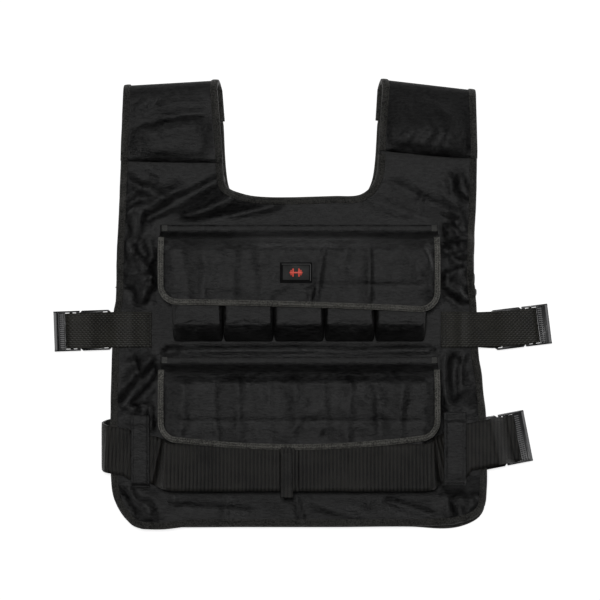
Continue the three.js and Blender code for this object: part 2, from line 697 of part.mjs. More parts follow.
// Flaps: stations from the sewn edge over the pouch heads to the free edge
function buildFlap(row, head, drop) {
  const middleLow = panelTop + gap + flapThickness / 2;
  const middleTop = flapLow + flapThickness / 2;
  const sewnY = head + flapRun + flangeWidth;
  const freeY = head - drop;
  const stations = [
    { y: freeY - flapTapeWidth, z: middleTop, droop: 1 },
    { y: freeY + 4, z: middleTop, droop: 1 },
    { y: lerp(freeY, head, 0.33), z: middleTop + 0.8, droop: 1 },
    { y: lerp(freeY, head, 0.66), z: middleTop + 0.8, droop: 1 },
    { y: head - 3, z: middleTop, droop: 0.9 },
    { y: head + flapRun * 0.3, z: lerp(middleLow, middleTop, 0.78), droop: 0.6 },
    { y: head + flapRun * 0.75, z: lerp(middleLow, middleTop, 0.18), droop: 0.12 },
    { y: head + flapRun, z: middleLow, droop: 0 },
    { y: sewnY + flapTapeWidth, z: middleLow, droop: 0 },
  ];
  const hang = (x) => flapDroop * smooth(Math.abs(x), rowWidth / 2 - 5, flapHalf + 6);
  const place = (x, station) => new THREE.Vector3(x, station.y, station.z - station.droop * hang(x));
  const reach = flapHalf + flapTapeWidth;
  const bend = rowWidth / 2;
  const columns = [-reach, -bend - 5, -bend + 6, 0, bend - 6, bend + 5, reach];
  const shape = new THREE.Shape();
  shape.moveTo(-flapHalf + flapCorner, freeY);
  shape.lineTo(flapHalf - flapCorner, freeY);
  shape.absarc(flapHalf - flapCorner, freeY + flapCorner, flapCorner, -Math.PI / 2, 0, false);
  shape.lineTo(flapHalf, sewnY);
  shape.lineTo(-flapHalf, sewnY);
  shape.absarc(-flapHalf + flapCorner, freeY + flapCorner, flapCorner, Math.PI, Math.PI * 1.5, false);
  const outline = shape.getPoints(3).filter((point, step, all) => step === 0 || point.distanceTo(all[step - 1]) > 0.01);
  if (outline[0].distanceTo(outline[outline.length - 1]) < 0.01) {
    outline.pop();
  }
  const sheet = (extra) => sheetSolid(columns, stations, place, flapThickness + 2 * extra);
  addPiece(`${row}_flap`, geometryOf(sheet(0).intersect(prism(outline))), nylon);
  const sewnZone = block(-reach * 2, reach * 2, head + flapRun * 0.55, sewnY * 2, prismLow, prismHigh);
  const band = tapeSolid(outline, sheet(tapeStep), sheet(gap), flapTapeWidth).subtract(sewnZone);
  addPiece(`${row}_flap_binding`, geometryOf(band), tape);
}

// Straps: stations along the middle line, turned in plan by an angle in degrees
function ribbon(stations, width, thickness) {
  const place = (across, station) => {
    const angle = THREE.MathUtils.degToRad(station.turn);
    const side = new THREE.Vector3(-Math.sin(angle), Math.cos(angle), 0);
    return new THREE.Vector3(station.x, station.y, station.z).addScaledVector(side, across);
  };
  return geometryOf(sheetSolid(stations, [-width / 2, width / 2], (station, across) => place(across, station), thickness));
}

// Height of the middle of a strap that lies on the front panel, clear across its whole width
function lieOnFront(row, width, thickness) {
  const angle = THREE.MathUtils.degToRad(row.turn);
  const tops = [-0.5, -0.25, 0, 0.25, 0.5].map((share) => (
    frontTop(row.x - Math.sin(angle) * share * width, row.y + Math.cos(angle) * share * width)
  ));
  return Math.max(...tops) + seat + thickness / 2;
}

function layBelt(rows) {
  const onTape = (row) => (Math.abs(row.x) > halfHem * 0.92 ? tapeStep + gap : 0);
  return rows.map((row) => ({ ...row, z: lieOnFront(row, beltWidth, beltThickness) + onTape(row) }));
}

function climbBelt(rows) {
  const low = panelTop + seat + beltThickness / 2;
  const high = pouchTop + gap + beltThickness / 2;
  return rows.map((row) => ({ ...row, z: lerp(low, high, row.lift) }));
}

const leftLoopX = -halfHem * 0.85;
const rightLoopX = halfHem * 0.83;

// The belt's middle line over the front, from the left edge to the right edge
const beltLeft = [
  { x: -halfHem * 0.985, y: beltLine + 23, turn: -12 },
  { x: -halfHem * 0.93, y: beltLine + 20, turn: -9 },
  { x: leftLoopX - 9, y: beltLine + 16, turn: -13 },
  { x: leftLoopX + 9, y: beltLine + 12, turn: -12 },
  { x: -flapHalf - 3, y: beltLine + 8, turn: -10 },
];
const beltClimbLeft = [
  { x: -rowWidth / 2 - 11, y: beltLine + 6, lift: 0.5, turn: -8 },
  { x: -rowWidth / 2 - 6, y: beltLine + 3, lift: 0.94, turn: -6 },
  { x: -rowWidth / 2 + 3, y: beltLine, lift: 1, turn: -3 },
];
const beltClimbRight = [
  { x: rowWidth / 2 - 3, y: beltLine, lift: 1, turn: 3 },
  { x: rowWidth / 2 + 6, y: beltLine + 3, lift: 0.94, turn: 7 },
  { x: rowWidth / 2 + 9, y: beltLine + 5, lift: 0.65, turn: 10 },
];
const beltRight = [
  { x: flapHalf - 1, y: beltLine + 9, turn: 13 },
  { x: rightLoopX - 5, y: beltLine + 16, turn: 17 },
  { x: rightLoopX + 7, y: beltLine + 20, turn: 18 },
  { x: halfHem * 0.88, y: beltLine + 25, turn: 16 },
  { x: halfHem * 0.945, y: beltLine + 28, turn: 14 },
  { x: halfHem * 1.045, y: beltLine + 32, turn: 12 },
];

// A loop of panel cloth over the belt, sewn down at both ends
function buildLoop(name, x, width, beltRow) {
  const bottom = beltRow.y - beltWidth / 2 - loopSlack;
  const top = beltRow.y + beltWidth / 2 + loopSlack;
  const over = beltRow.z + (beltThickness + loopThickness) / 2 + seat + gap * 3;
  const rows = [
    bottom - loopTab, bottom - 4, bottom + 1, lerp(bottom, top, 0.5), top - 1, top + 4, top + loopTab,
  ].map((y) => {
    const row = { x, y, turn: 90 };
    const lie = lieOnFront(row, width, loopThickness) + gap;
    return { ...row, z: y > bottom && y < top ? Math.max(over, lie) : lie };
  });
  addPiece(name, ribbon(rows, width, loopThickness), nylon);
}

// Where a point a distance out along a buckle's own direction lies
function outward(buckle, distance) {
  const angle = THREE.MathUtils.degToRad(buckle.turn);
  return {
    x: buckle.x + buckle.side * distance * Math.cos(angle),
    y: buckle.y + buckle.side * distance * Math.sin(angle),
    turn: buckle.turn,
  };
}

const buckleLength = socketLength + ladderLength;
const leftBuckle = {
  side: -1, turn: 2, height: sideBuckleHeight, width: webbingWidth, strap: webbingThickness,
  x: edgeAt(backOutline, -1, sideStrapLine) - tapeStep - 3, y: sideStrapLine,
};
const rightBuckle = {
  side: 1, turn: 7, height: sideBuckleHeight, width: webbingWidth, strap: webbingThickness,
  x: edgeAt(backOutline, 1, sideStrapLine) + tapeStep + 16, y: sideStrapLine - 1,
};
const beltBuckle = {
  side: 1, turn: 11, height: beltBuckleHeight, width: beltWidth, strap: beltThickness,
  x: halfHem * 0.93, y: rearBeltLine - 4,
};

const slotStart = barWidth;
const slotMiddle = slotStart + slotLength / 2;
const ladderSlotMiddle = buckleLength - gripLength - slotLength / 2;
const barMiddleOf = (buckle) => buckle.height * 0.44;

// The strap that goes through the ladder end: over the buckle, down the slot and back
function ladderStations(buckle) {
  const top = buckle.height + seat + buckle.strap / 2;
  const low = buckle.strap / 2 + gap;
  return [
    { ...outward(buckle, buckleLength * 0.35), z: top + 0.6 },
    { ...outward(buckle, ladderSlotMiddle - 6), z: top },
    { ...outward(buckle, ladderSlotMiddle - 1.5), z: top - 0.6 },
    { ...outward(buckle, ladderSlotMiddle + 0.7), z: top - 3 },
    { ...outward(buckle, ladderSlotMiddle + 0.7), z: low + 2.5 },
    { ...outward(buckle, ladderSlotMiddle - 1.5), z: low + 0.6 },
    { ...outward(buckle, ladderSlotMiddle - 4), z: low },
    { ...outward(buckle, ladderSlotMiddle - 8), z: low },
  ];
}

// The strap's turn round the socket's tail bar, from the lower side to the upper one
function tailStations(buckle) {
  const middle = barMiddleOf(buckle);
  const wrap = barHeight / 2 + buckle.strap / 2 + gap;
  const inSlot = slotMiddle + 0.5;
  return [
    { ...outward(buckle, barWidth * 0.5), z: middle - wrap },
    { ...outward(buckle, barWidth + 0.8), z: middle - wrap },
    { ...outward(buckle, inSlot), z: middle - barHeight / 2 },
    { ...outward(buckle, inSlot), z: middle + barHeight / 2 },
    { ...outward(buckle, barWidth + 0.8), z: middle + wrap },
    { ...outward(buckle, -1), z: middle + wrap },
  ];
}

function buildBelt() {
  const joinX = -halfHem * 0.065;
  const high = pouchTop + gap + beltThickness / 2;
  const left = layBelt(beltLeft);
  const rear = beltThickness / 2;
  const crest = left[0].z;
  const rim = edgeAt(frontOutline, -1, left[0].y) - tapeStep;
  const radius = (crest - rear) / 2;
  const wrapTurns = [0.5, 0.3, 0, -0.3, -0.5];
  const wrap = wrapTurns.map((turn) => ({
    x: rim - 1.5 - radius * 0.7 * Math.cos(turn * Math.PI),
    y: lerp(rearBeltLine, left[0].y, turn + 0.5),
    z: rear + radius + radius * Math.sin(turn * Math.PI),
    turn: lerp(0, -7, turn + 0.5),
  }));
  const leftStations = [
    { x: joinX + joinOverlap / 2, y: beltLine, z: high, turn: 0 },
    ...climbBelt(beltClimbLeft).reverse(),
    ...left.slice(1).reverse(),
    ...wrap,
    { x: -halfHem * 0.9, y: rearBeltLine, z: rear, turn: 0 },
    { x: halfHem * 0.8, y: rearBeltLine, z: rear, turn: 0 },
    ...tailStations(beltBuckle),
  ];
  addPiece('belt_left', ribbon(leftStations.reverse(), beltWidth, beltThickness), elastic);
  const lap = high + beltThickness + gap;
  const right = layBelt(beltRight);
  const rightStations = [
    { x: joinX - joinOverlap / 2, y: beltLine, z: lap, turn: 0 },
    { x: joinX + joinOverlap / 2, y: beltLine, z: lap, turn: 0 },
    { x: joinX + joinOverlap, y: beltLine, z: high + 0.4, turn: 0 },
    ...climbBelt(beltClimbRight),
    ...right,
    ...ladderStations(beltBuckle).slice(1),
  ];
  addPiece('belt_right', ribbon(rightStations, beltWidth, beltThickness), elastic);
  buildLoop('left_belt_loop', leftLoopX, leftLoopWidth, left[2]);
  buildLoop('right_belt_loop', rightLoopX, rightLoopWidth, right[2]);
}

function buildSideStrap(name, buckle) {
  const start = edgeAt(frontOutline, buckle.side, sideStrapLine);
  const lie = (distance, lift) => {
    const row = { x: start - buckle.side * distance, y: sideStrapLine, turn: 0 };
    return { ...row, z: lieOnFront(row, webbingWidth, webbingThickness) + lift };
  };
  const frontStations = [
    lie(strapSewnLength, 0),
    lie(strapSewnLength * 0.66, 0),
    lie(strapSewnLength * 0.42, 0.4),
    lie(panelTapeWidth + 3, tapeStep + gap),
    lie(-2.5, tapeStep),
    ...ladderStations(buckle),
  ];
  const backEdge = edgeAt(backOutline, buckle.side, sideStrapLine);
  const rest = panelThickness + seat + webbingThickness / 2;
  const overTape = panelThickness + tapeStep + gap + webbingThickness / 2;
  const backStations = [
    { x: backEdge - buckle.side * backStrapSewnLength, y: sideStrapLine, z: rest, turn: 0 },
    { x: backEdge - buckle.side * (panelTapeWidth + 5), y: sideStrapLine, z: rest, turn: 0 },
    { x: backEdge - buckle.side * (panelTapeWidth + 1), y: sideStrapLine, z: overTape, turn: 0 },
    { x: backEdge, y: sideStrapLine, z: overTape, turn: 0 },
    ...tailStations(buckle).reverse(),
  ];
  if (buckle.side < 0) {
    frontStations.reverse();
    backStations.reverse();
  }
  addPiece(`${name}_strap`, ribbon(frontStations, webbingWidth, webbingThickness), webbing);
  addPiece(`${name}_back_strap`, ribbon(backStations, webbingWidth, webbingThickness), webbing);
}

// Buckles: the socket has a tail bar, a pocket and side windows; the other half is a ladder
const prongWidth = 7;
const prongLength = socketLength * 0.62;
const windowLength = socketLength * 0.34;

function buildBuckle(name, buckle) {
  const place = new THREE.Group();
  place.position.set(buckle.x, buckle.y, 0);
  place.rotation.z = THREE.MathUtils.degToRad(buckle.turn) + (buckle.side < 0 ? Math.PI : 0);
  vest.add(place);
  const half = buckle.width / 2 + buckleRail;
  const clearHalf = buckle.width / 2 + 0.8;
  const height = buckle.height;
  const bevel = 3;
  const socketPlan = [
    new THREE.Vector2(0, -half + bevel), new THREE.Vector2(bevel, -half),
    new THREE.Vector2(socketLength - bevel, -half), new THREE.Vector2(socketLength, -half + bevel),
    new THREE.Vector2(socketLength, half - bevel), new THREE.Vector2(socketLength - bevel, half),
    new THREE.Vector2(bevel, half), new THREE.Vector2(0, half - bevel),
  ];
  const tailEnd = slotStart + slotLength;
  const pocketStart = tailEnd + buckleWall + 1;
  const pocketHalf = half - buckleWall;
  const barLow = barMiddleOf(buckle) - barHeight / 2;
  const windowStart = pocketStart + 2;
  const socket = prism(socketPlan, 0, height)
    .subtract(block(slotStart, tailEnd, -clearHalf, clearHalf, -1, height + 1))
    .subtract(block(-1, tailEnd, -clearHalf, clearHalf, -1, barLow))
    .subtract(block(-1, tailEnd, -clearHalf, clearHalf, barLow + barHeight, height + 1))
    .subtract(block(pocketStart, socketLength + 1, -pocketHalf, pocketHalf, buckleWall, height - buckleWall))
    .subtract(block(windowStart, windowStart + windowLength, -half - 1, half + 1, buckleWall, height - buckleWall));
  addPiece(`${name}_buckle_socket`, geometryOf(socket), plastic, place);

  const prongLow = buckleWall + buckleClearance;
  const prongHigh = height - buckleWall - buckleClearance;
  const start = socketLength + buckleClearance;
  const end = buckleLength;
  const gripStart = end - gripLength;
  const slotEdge = gripStart - slotLength;
  const prongHalf = pocketHalf - buckleClearance;
  const railHigh = height - 1.5;
  const tongueTip = socketLength - prongLength;
  let ladder = block(start, slotEdge - barWidth - 3.5, -half, half, 1, railHigh);
  const pieces = [
    block(start, end, -half, -clearHalf, 1, railHigh),
    block(start, end, clearHalf, half, 1, railHigh),
    block(slotEdge - barWidth + 1, slotEdge, -half, half, barLow, barLow + barHeight),
    block(gripStart, end, -half, half, 2.5, railHigh - 1),
    block(tongueTip, start + 1, -prongHalf, -prongHalf + prongWidth, prongLow, prongHigh),
    block(tongueTip, start + 1, prongHalf - prongWidth, prongHalf, prongLow, prongHigh),
    block(tongueTip + 5, start + 1, -prongWidth / 2, prongWidth / 2, prongLow, prongHigh),
  ];
  const ridgeCount = 4;
  for (let ridge = 0; ridge < ridgeCount; ridge += 1) {
    const x = gripStart + 1 + (ridge * (gripLength - 2)) / ridgeCount;
    pieces.push(block(x, x + 1.3, -clearHalf, clearHalf, railHigh - 1.5, railHigh));
  }
  for (const piece of pieces) {
    ladder = ladder.add(piece);
  }
  addPiece(`${name}_buckle_ladder`, geometryOf(ladder), plastic, place);
}

// The rubber patch sits on the upper flap, with a raised rim and a plain bar-bell figure
function buildPatch() {
  const base = flapTop + 0.8 + seat;
  const x = -halfHem * 0.016;
  const y = upperHead - upperFlapDrop * 0.47;
  const half = patchWidth / 2;
  const tall = patchHeight / 2;
  const top = base + patchThickness;
  const rim = block(-half, half, -tall, tall, base, top + patchRimHeight)
    .subtract(block(-half + patchRim, half - patchRim, -tall + patchRim, tall - patchRim, top, top + 5));
  addPiece('label_patch', geometryOf(rim), rubber).position.set(x, y, 0);
  const low = top + gap;
  const high = low + emblemHeight;
  const plateShares = [{ from: 0.07, to: 0.115, tall: 0.2 }, { from: 0.135, to: 0.17, tall: 0.13 }];
  const bar = patchWidth * 0.2;
  const barTall = patchHeight * 0.035;
  let emblem = block(-bar, bar, -barTall, barTall, low, high);
  for (const plate of plateShares) {
    const [from, to, reach] = [plate.from * patchWidth, plate.to * patchWidth, plate.tall * patchHeight];
    emblem = emblem.add(block(from, to, -reach, reach, low, high)).add(block(-to, -from, -reach, reach, low, high));
  }
  addPiece('label_emblem', geometryOf(emblem), redRubber).position.set(x, y, 0);
}

buildBackPanel();
buildFrontPanel();
buildShoulder('left', leftShoulder);
buildShoulder('right', rightShoulder);
buildPouchRow('upper', upperFoot);
buildPouchRow('lower', lowerFoot);
buildFlap('upper', upperHead, upperFlapDrop);
buildFlap('lower', lowerHead, lowerFlapDrop);
buildBelt();
buildSideStrap('left', leftBuckle);
buildSideStrap('right', rightBuckle);
buildBuckle('left', leftBuckle);
buildBuckle('right', rightBuckle);
buildBuckle('belt', beltBuckle);
buildPatch();

// The origin is the middle of the vest's own box, on the surface that it lies on
vest.updateMatrixWorld(true);
const extent = new THREE.Box3().setFromObject(vest, true);
vest.position.set(-(extent.min.x + extent.max.x) / 2, -(extent.min.y + extent.max.y) / 2, -extent.min.z);
vest.updateMatrixWorld(true);

export default vest;
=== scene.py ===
import math
from collections import namedtuple

import bmesh
import bpy
from mathutils import Matrix, Vector, noise


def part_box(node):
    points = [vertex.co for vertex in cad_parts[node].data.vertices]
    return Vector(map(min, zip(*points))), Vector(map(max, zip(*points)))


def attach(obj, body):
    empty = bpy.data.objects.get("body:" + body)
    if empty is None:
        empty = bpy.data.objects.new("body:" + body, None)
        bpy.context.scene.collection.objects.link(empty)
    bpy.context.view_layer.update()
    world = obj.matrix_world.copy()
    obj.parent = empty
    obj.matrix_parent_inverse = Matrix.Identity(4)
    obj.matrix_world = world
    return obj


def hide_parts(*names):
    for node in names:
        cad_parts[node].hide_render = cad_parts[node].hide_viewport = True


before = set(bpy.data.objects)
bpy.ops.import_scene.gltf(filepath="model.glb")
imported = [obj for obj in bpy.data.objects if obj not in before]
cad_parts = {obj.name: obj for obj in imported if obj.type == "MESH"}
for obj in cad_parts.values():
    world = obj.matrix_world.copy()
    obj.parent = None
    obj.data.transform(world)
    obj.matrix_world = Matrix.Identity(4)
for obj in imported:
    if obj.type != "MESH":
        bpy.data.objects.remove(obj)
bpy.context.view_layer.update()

# Lengths are in millimetres, from the middle of the vest's hem, until a piece is finished.
MM = 0.001
HALF_HEM = 200
VEST_LENGTH = 483
ROW_HALF = 135
FLAP_HALF = 148.5
PANEL = 4
# Heights of the front panel's underside, near its edge and over the chest
EDGE_LOW = 10.8
CHEST_LOW = 16
PANEL_TOP = CHEST_LOW + PANEL
POUCH_PITCH = 54
POUCH_LENGTH = 107
POUCH_BASE = PANEL_TOP + 0.3
POUCH_TOP = POUCH_BASE + 28
# Feet of the two rows of pouches, and how far each flap reaches down from their heads
ROWS = {"lower": 58.3, "upper": 199.6}
FLAP_DROPS = {"lower": 76, "upper": 68.5}
FLAP_THICK = 2.5
FLAP_LOW = POUCH_TOP + 1.8
NECK_LINE = 354.3
BELT_LINE = 68.3
SIDE_STRAP_LINE = 213.6
REAR_BELT_LINE = 91.8
# The band of the back panel that rises over the belt, with its ramps
BAND_LOW = 31.8
BAND_HIGH = 151.8
BAND_RAMP = 26
BELT_WIDTH = 50
BELT_THICK = 2.5
WEBBING_WIDTH = 38
WEBBING_THICK = 1.8
TAPE = 1.2
ON_FLOOR = 0.05
REST_GAP = 0.5
TAPE_WIDTH = 6.5
FLAP_TAPE_WIDTH = 5

back_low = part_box("back_panel")[0]
ORIGIN = Vector((back_low[0] + HALF_HEM * MM, back_low[1], 0))


# Small maths
def clamp(value, low=0.0, high=1.0):
    return max(low, min(high, value))


def lerp(start, end, share):
    return start + (end - start) * share


def smooth(value, low, high):
    share = clamp((value - low) / (high - low))
    return share * share * (3 - 2 * share)


def along_table(rows, value):
    """Height at a value in a table of (place, height) rows, eased between them."""
    for (start, low), (end, high) in zip(rows, rows[1:]):
        if value <= end:
            return lerp(low, high, smooth(value, start, end))
    return rows[-1][1]


def curve_through(points, step):
    """Evenly spaced points on a smooth curve through the given ones."""
    last = len(points) - 1
    fine = []
    for span in range(last):
        before, start, end, after = (
            Vector(points[clamp(span + shift, 0, last)]) for shift in (-1, 0, 1, 2)
        )
        length = (end - start).length
        leaving = (end - before) * (length / (length + (start - before).length))
        arriving = (after - start) * (length / (length + (after - end).length))
        pieces = max(4, int(length / (step * 0.5)))
        for piece in range(pieces):
            t = piece / pieces
            fine.append(
                start * (2 * t ** 3 - 3 * t ** 2 + 1) + end * (3 * t ** 2 - 2 * t ** 3)
                + leaving * (t ** 3 - 2 * t ** 2 + t) + arriving * (t ** 3 - t ** 2)
            )
    fine.append(Vector(points[-1]))
    lengths = [0.0]
    for start, end in zip(fine, fine[1:]):
        lengths.append(lengths[-1] + (end - start).length)
    total = max(2, round(lengths[-1] / step))
    spaced = []
    at = 0
    for index in range(total + 1):
        goal = lengths[-1] * index / total
        while at < len(lengths) - 2 and lengths[at + 1] < goal:
            at += 1
        room = lengths[at + 1] - lengths[at] or 1
        spaced.append(fine[at].lerp(fine[at + 1], clamp((goal - lengths[at]) / room)))
    return spaced


# Finishes
class Wire:
    """A socket in a finish, so that its maths reads as an expression."""

    def __init__(self, finish, socket):
        self.finish = finish
        self.socket = socket

    def maths(self, operation, *values):
        return self.finish.node("ShaderNodeMath", {"operation": operation}, dict(enumerate(values)))

    def __add__(self, other):
        return self.maths("ADD", self, other)

    def __sub__(self, other):
        return self.maths("SUBTRACT", self, other)

    def __mul__(self, other):
        return self.maths("MULTIPLY", self, other)

    def __abs__(self):
        return self.maths("ABSOLUTE", self)

    def sine(self):
        return self.maths("SINE", self)


class Finish:
    """A material: constants on the shader's own sockets, and patterns in the piece's own metres."""

    def __init__(self, name, **sockets):
        self.material = bpy.data.materials.new(name)
        self.material.use_nodes = True
        self.tree = self.material.node_tree
        self.surface = self.tree.nodes["Principled BSDF"]
        for socket, value in sockets.items():
            self.surface.inputs[socket.replace("_", " ")].default_value = value
        self.place = self.node("ShaderNodeTexCoord", output="Object")

    def node(self, kind, settings=None, sockets=None, output=0):
        node = self.tree.nodes.new(kind)
        for setting, value in (settings or {}).items():
            setattr(node, setting, value)
        for socket, value in (sockets or {}).items():
            if isinstance(value, Wire):
                self.tree.links.new(value.socket, node.inputs[socket])
            else:
                node.inputs[socket].default_value = value
        return Wire(self, node.outputs[output])

    def axes(self):
        split = self.node("ShaderNodeSeparateXYZ", sockets={0: self.place})
        return [Wire(self, split.socket.node.outputs[axis]) for axis in range(3)]

    def grain(self, size, detail=3.0, rough=0.6):
        """Noise whose blotches are about the given size in millimetres."""
        return self.node("ShaderNodeTexNoise", sockets={
            "Vector": self.place, "Scale": 1000.0 / size, "Detail": detail, "Roughness": rough,
        })

    def between(self, share, low, high):
        """A value that runs from low to high as a share goes from 0.3 to 0.7."""
        return self.node("ShaderNodeMapRange", sockets={0: share, 1: 0.3, 2: 0.7, 3: low, 4: high})

    def shade(self, share, dark, light):
        """A colour that runs from dark to light."""
        steady = self.node("ShaderNodeMapRange", sockets={0: share, 1: 0.3, 2: 0.7})
        return self.node("ShaderNodeMix", {"data_type": "RGBA"}, {
            0: steady, 6: (*dark, 1), 7: (*light, 1),
        }, output=2)

    def paint(self, colour=None, rough=None, height=None, depth=0.3):
        if colour:
            self.tree.links.new(colour.socket, self.surface.inputs["Base Color"])
        if rough:
            self.tree.links.new(rough.socket, self.surface.inputs["Roughness"])
        if height:
            bump = self.node("ShaderNodeBump", sockets={
                "Height": height, "Distance": depth * MM, "Strength": 1.0,
            })
            self.tree.links.new(bump.socket, self.surface.inputs["Normal"])
        return self.material


def cloth_finish(name, dark, light, pitch, depth, rough=0.5, matte_above=None):
    """Plain weave with slubs along the weft and uneven dye; above a given height it has no shine."""
    finish = Finish(name, Specular_IOR_Level=0.5)
    x, y, z = finish.axes()
    turn = 2 * math.pi / (pitch * MM)
    weave = ((x + z) * turn).sine() * ((y + z) * turn).sine()
    weft = finish.node("ShaderNodeMapping", sockets={"Vector": finish.place, "Scale": (0.35, 1.0, 1.0)})
    slubs = finish.node("ShaderNodeTexNoise", sockets={
        "Vector": weft, "Scale": 420.0, "Detail": 2.0, "Roughness": 0.8,
    })
    dye = finish.grain(30, 2)
    colour = finish.shade(slubs * 1.6 + dye * 0.6 - 0.6, dark, light)
    height = weave * 0.08 + slubs * 1.5
    shine = finish.between(slubs * 0.5 + dye * 0.5, rough - 0.09, rough + 0.13)
    if matte_above:
        line = ORIGIN.y + matte_above * MM
        ragged = y + (dye - 0.5) * 0.03
        shine = shine + finish.node("ShaderNodeMapRange", sockets={
            0: ragged, 1: line - 0.012, 2: line, 3: 0.0, 4: 0.32,
        })
    return finish.paint(colour, shine, height, depth)


def webbing_finish(name, dark, light, pitch, depth, rows_share, rough=0.7):
    """Woven strap whose yarns show as short bars in rows, more strongly with a higher share."""
    finish = Finish(name, Specular_IOR_Level=0.4)
    x, y, z = finish.axes()
    turn = 2 * math.pi / (pitch * MM)
    rows = (y * turn).sine()
    bars = (x * turn).sine()
    lint = finish.grain(1.5, 3)
    patches = finish.grain(24, 2)
    weave = abs(rows) * 0.6 + bars * rows * 0.5
    colour = finish.shade(
        lint * (1.7 - rows_share) + abs(rows) * rows_share + patches * (0.15 + rows_share)
        - (0.35 + 0.72 * rows_share), dark, light,
    )
    return finish.paint(colour, finish.between(lint, rough - 0.1, rough + 0.1), weave + lint * 0.5, depth)


def moulded_finish(name, dark, light, rough, depth=0.06, metal=0.0, gloss=0.5, painted_glow=None):
    """Moulded plastic or rubber, or cast metal: fine grain and rubbed patches; where asked, it also shines by
    itself as painted light.
    """
    finish = Finish(name, Specular_IOR_Level=gloss, Metallic=metal)
    if painted_glow:
        for socket, value in zip(("Emission Color", "Emission Strength"), painted_glow):
            finish.surface.inputs[socket].default_value = value
    grain = finish.grain(0.9, 3)
    rubbed = finish.grain(14, 3)
    colour = finish.shade(grain * 0.3 + rubbed * 0.6, dark, light)
    return finish.paint(colour, finish.between(rubbed, rough - 0.1, rough + 0.12), grain, depth)


WEAVE_PITCH = 0.7
WEAVE_DEPTH = 0.5
BODY_DARK = (0.0015, 0.0015, 0.0017)
BODY_LIGHT = (0.026, 0.026, 0.0263)
FLAP_DARK = (0.002, 0.002, 0.0022)
FLAP_LIGHT = (0.028, 0.028, 0.0283)
BODY_CLOTH = cloth_finish("body_cloth", BODY_DARK, BODY_LIGHT, WEAVE_PITCH, WEAVE_DEPTH, 0.42)
# The right shoulder's cloth is a darker copy of the left's: its lightest colour is lowered as painted shade.
# The rise in roughness above a line is real.
SHOULDER_CLOTH_RIGHT_PAINTED_SHADE = {
    side: cloth_finish(f"{side}_shoulder_nylon", BODY_DARK, light, WEAVE_PITCH, WEAVE_DEPTH, 0.42, matte)
    for side, light, matte in (("left", BODY_LIGHT, 472), ("right", (0.022, 0.022, 0.0223), 434))
}
FLAP_CLOTH, POUCH_CLOTH = (
    cloth_finish(name, FLAP_DARK, FLAP_LIGHT, WEAVE_PITCH, WEAVE_DEPTH, 0.43)
    for name in ("flap_cloth", "pouch_cloth")
)
EDGE_TAPE = webbing_finish("edge_tape", (0.002, 0.002, 0.0018), (0.100, 0.098, 0.090), 1.2, 0.3, 0.2, 0.65)
# The flaps' binding is much lighter than the edge tape: painted highlight where it faces the light. Its
# speckle is the tape's own fuzz.
FLAP_TAPE_PAINTED_HIGHLIGHT = webbing_finish("flap_tape_painted_highlight", (0.025, 0.025, 0.022), (0.280, 0.275, 0.250), 1.2, 0.35, 0.2, 0.6)
THREAD = moulded_finish("thread", (0.003, 0.003, 0.003), (0.075, 0.074, 0.070), 0.5)
PALE_THREAD = moulded_finish("pale_thread", (0.10, 0.10, 0.095), (0.30, 0.30, 0.28), 0.6)
STRAP_WEBBING = webbing_finish(
    "strap_webbing", (0.003, 0.003, 0.0025), (0.040, 0.038, 0.029), 4.2, 0.25, 0.6, 0.5,
)
BUCKLE_PLASTIC = moulded_finish("buckle_plastic", (0.014, 0.0145, 0.015), (0.040, 0.041, 0.043), 0.36)
GRIP_PLASTIC = moulded_finish("grip_plastic", (0.24, 0.24, 0.245), (0.42, 0.42, 0.43), 0.35)
CAST_IRON = moulded_finish("cast_iron", (0.10, 0.10, 0.11), (0.20, 0.20, 0.21), 0.55, 0.2, 0.9)
PATCH_RUBBER = moulded_finish("patch_rubber", (0.002, 0.002, 0.0022), (0.004, 0.004, 0.0045), 0.7, gloss=0.2)
PATCH_FACE = moulded_finish("patch_face", (0.014, 0.015, 0.0145), (0.030, 0.031, 0.030), 0.6, gloss=0.4)
# Pale rubber for lines along the patch rim's top and right edges: painted highlight.
PATCH_RIM_PAINTED_HIGHLIGHT = moulded_finish("patch_rim_painted_highlight", (0.10, 0.10, 0.10), (0.20, 0.20, 0.20), 0.5)
# The red emblem's rubber shines by itself: painted light, since it is no lamp.
RED_PAINTED_GLOW = ((1.0, 0.10, 0.06, 1), 0.22)
RED_RUBBER_PAINTED_LIGHT = moulded_finish("red_rubber", (0.75, 0.07, 0.045), (0.95, 0.12, 0.08), 0.5, painted_glow=RED_PAINTED_GLOW)


RIB_PITCH = 4.0


def elastic_finish():
    """Elastic whose cords stand in ribs, with painted shade in the grooves, painted highlight on the cords'
    tops, and worn patches.
    """
    finish = Finish("ribbed_elastic", Specular_IOR_Level=0.5)
    x, y, z = finish.axes()
    # Painted light and shade: lighter on the cords' tops, darker in the grooves between them.
    cord_painted_light_shade = abs(((x - ORIGIN.x) * (math.pi / (RIB_PITCH * MM))).sine())
    rows = ((y + z) * (2 * math.pi / (1.1 * MM))).sine()
    lint = finish.grain(2.0, 3)
    worn = finish.grain(34, 2)
    colour = finish.shade(
        cord_painted_light_shade * 0.45 + lint * 0.7 + worn * 0.9 - 0.55, (0.0012, 0.0011, 0.0010), (0.032, 0.030, 0.026),
    )
    return finish.paint(colour, finish.between(lint, 0.45, 0.65), rows * 0.3 + lint, 0.25)


RIBBED_ELASTIC = elastic_finish()


# Finished pieces
def resize(shape, factor):
    bmesh.ops.scale(shape, vec=(factor, factor, factor), verts=shape.verts)


def put_in_scene(shape, name):
    mesh = bpy.data.meshes.new(name)
    shape.to_mesh(mesh)
    shape.free()
    piece = bpy.data.objects.new(name, mesh)
    bpy.context.scene.collection.objects.link(piece)
    return piece


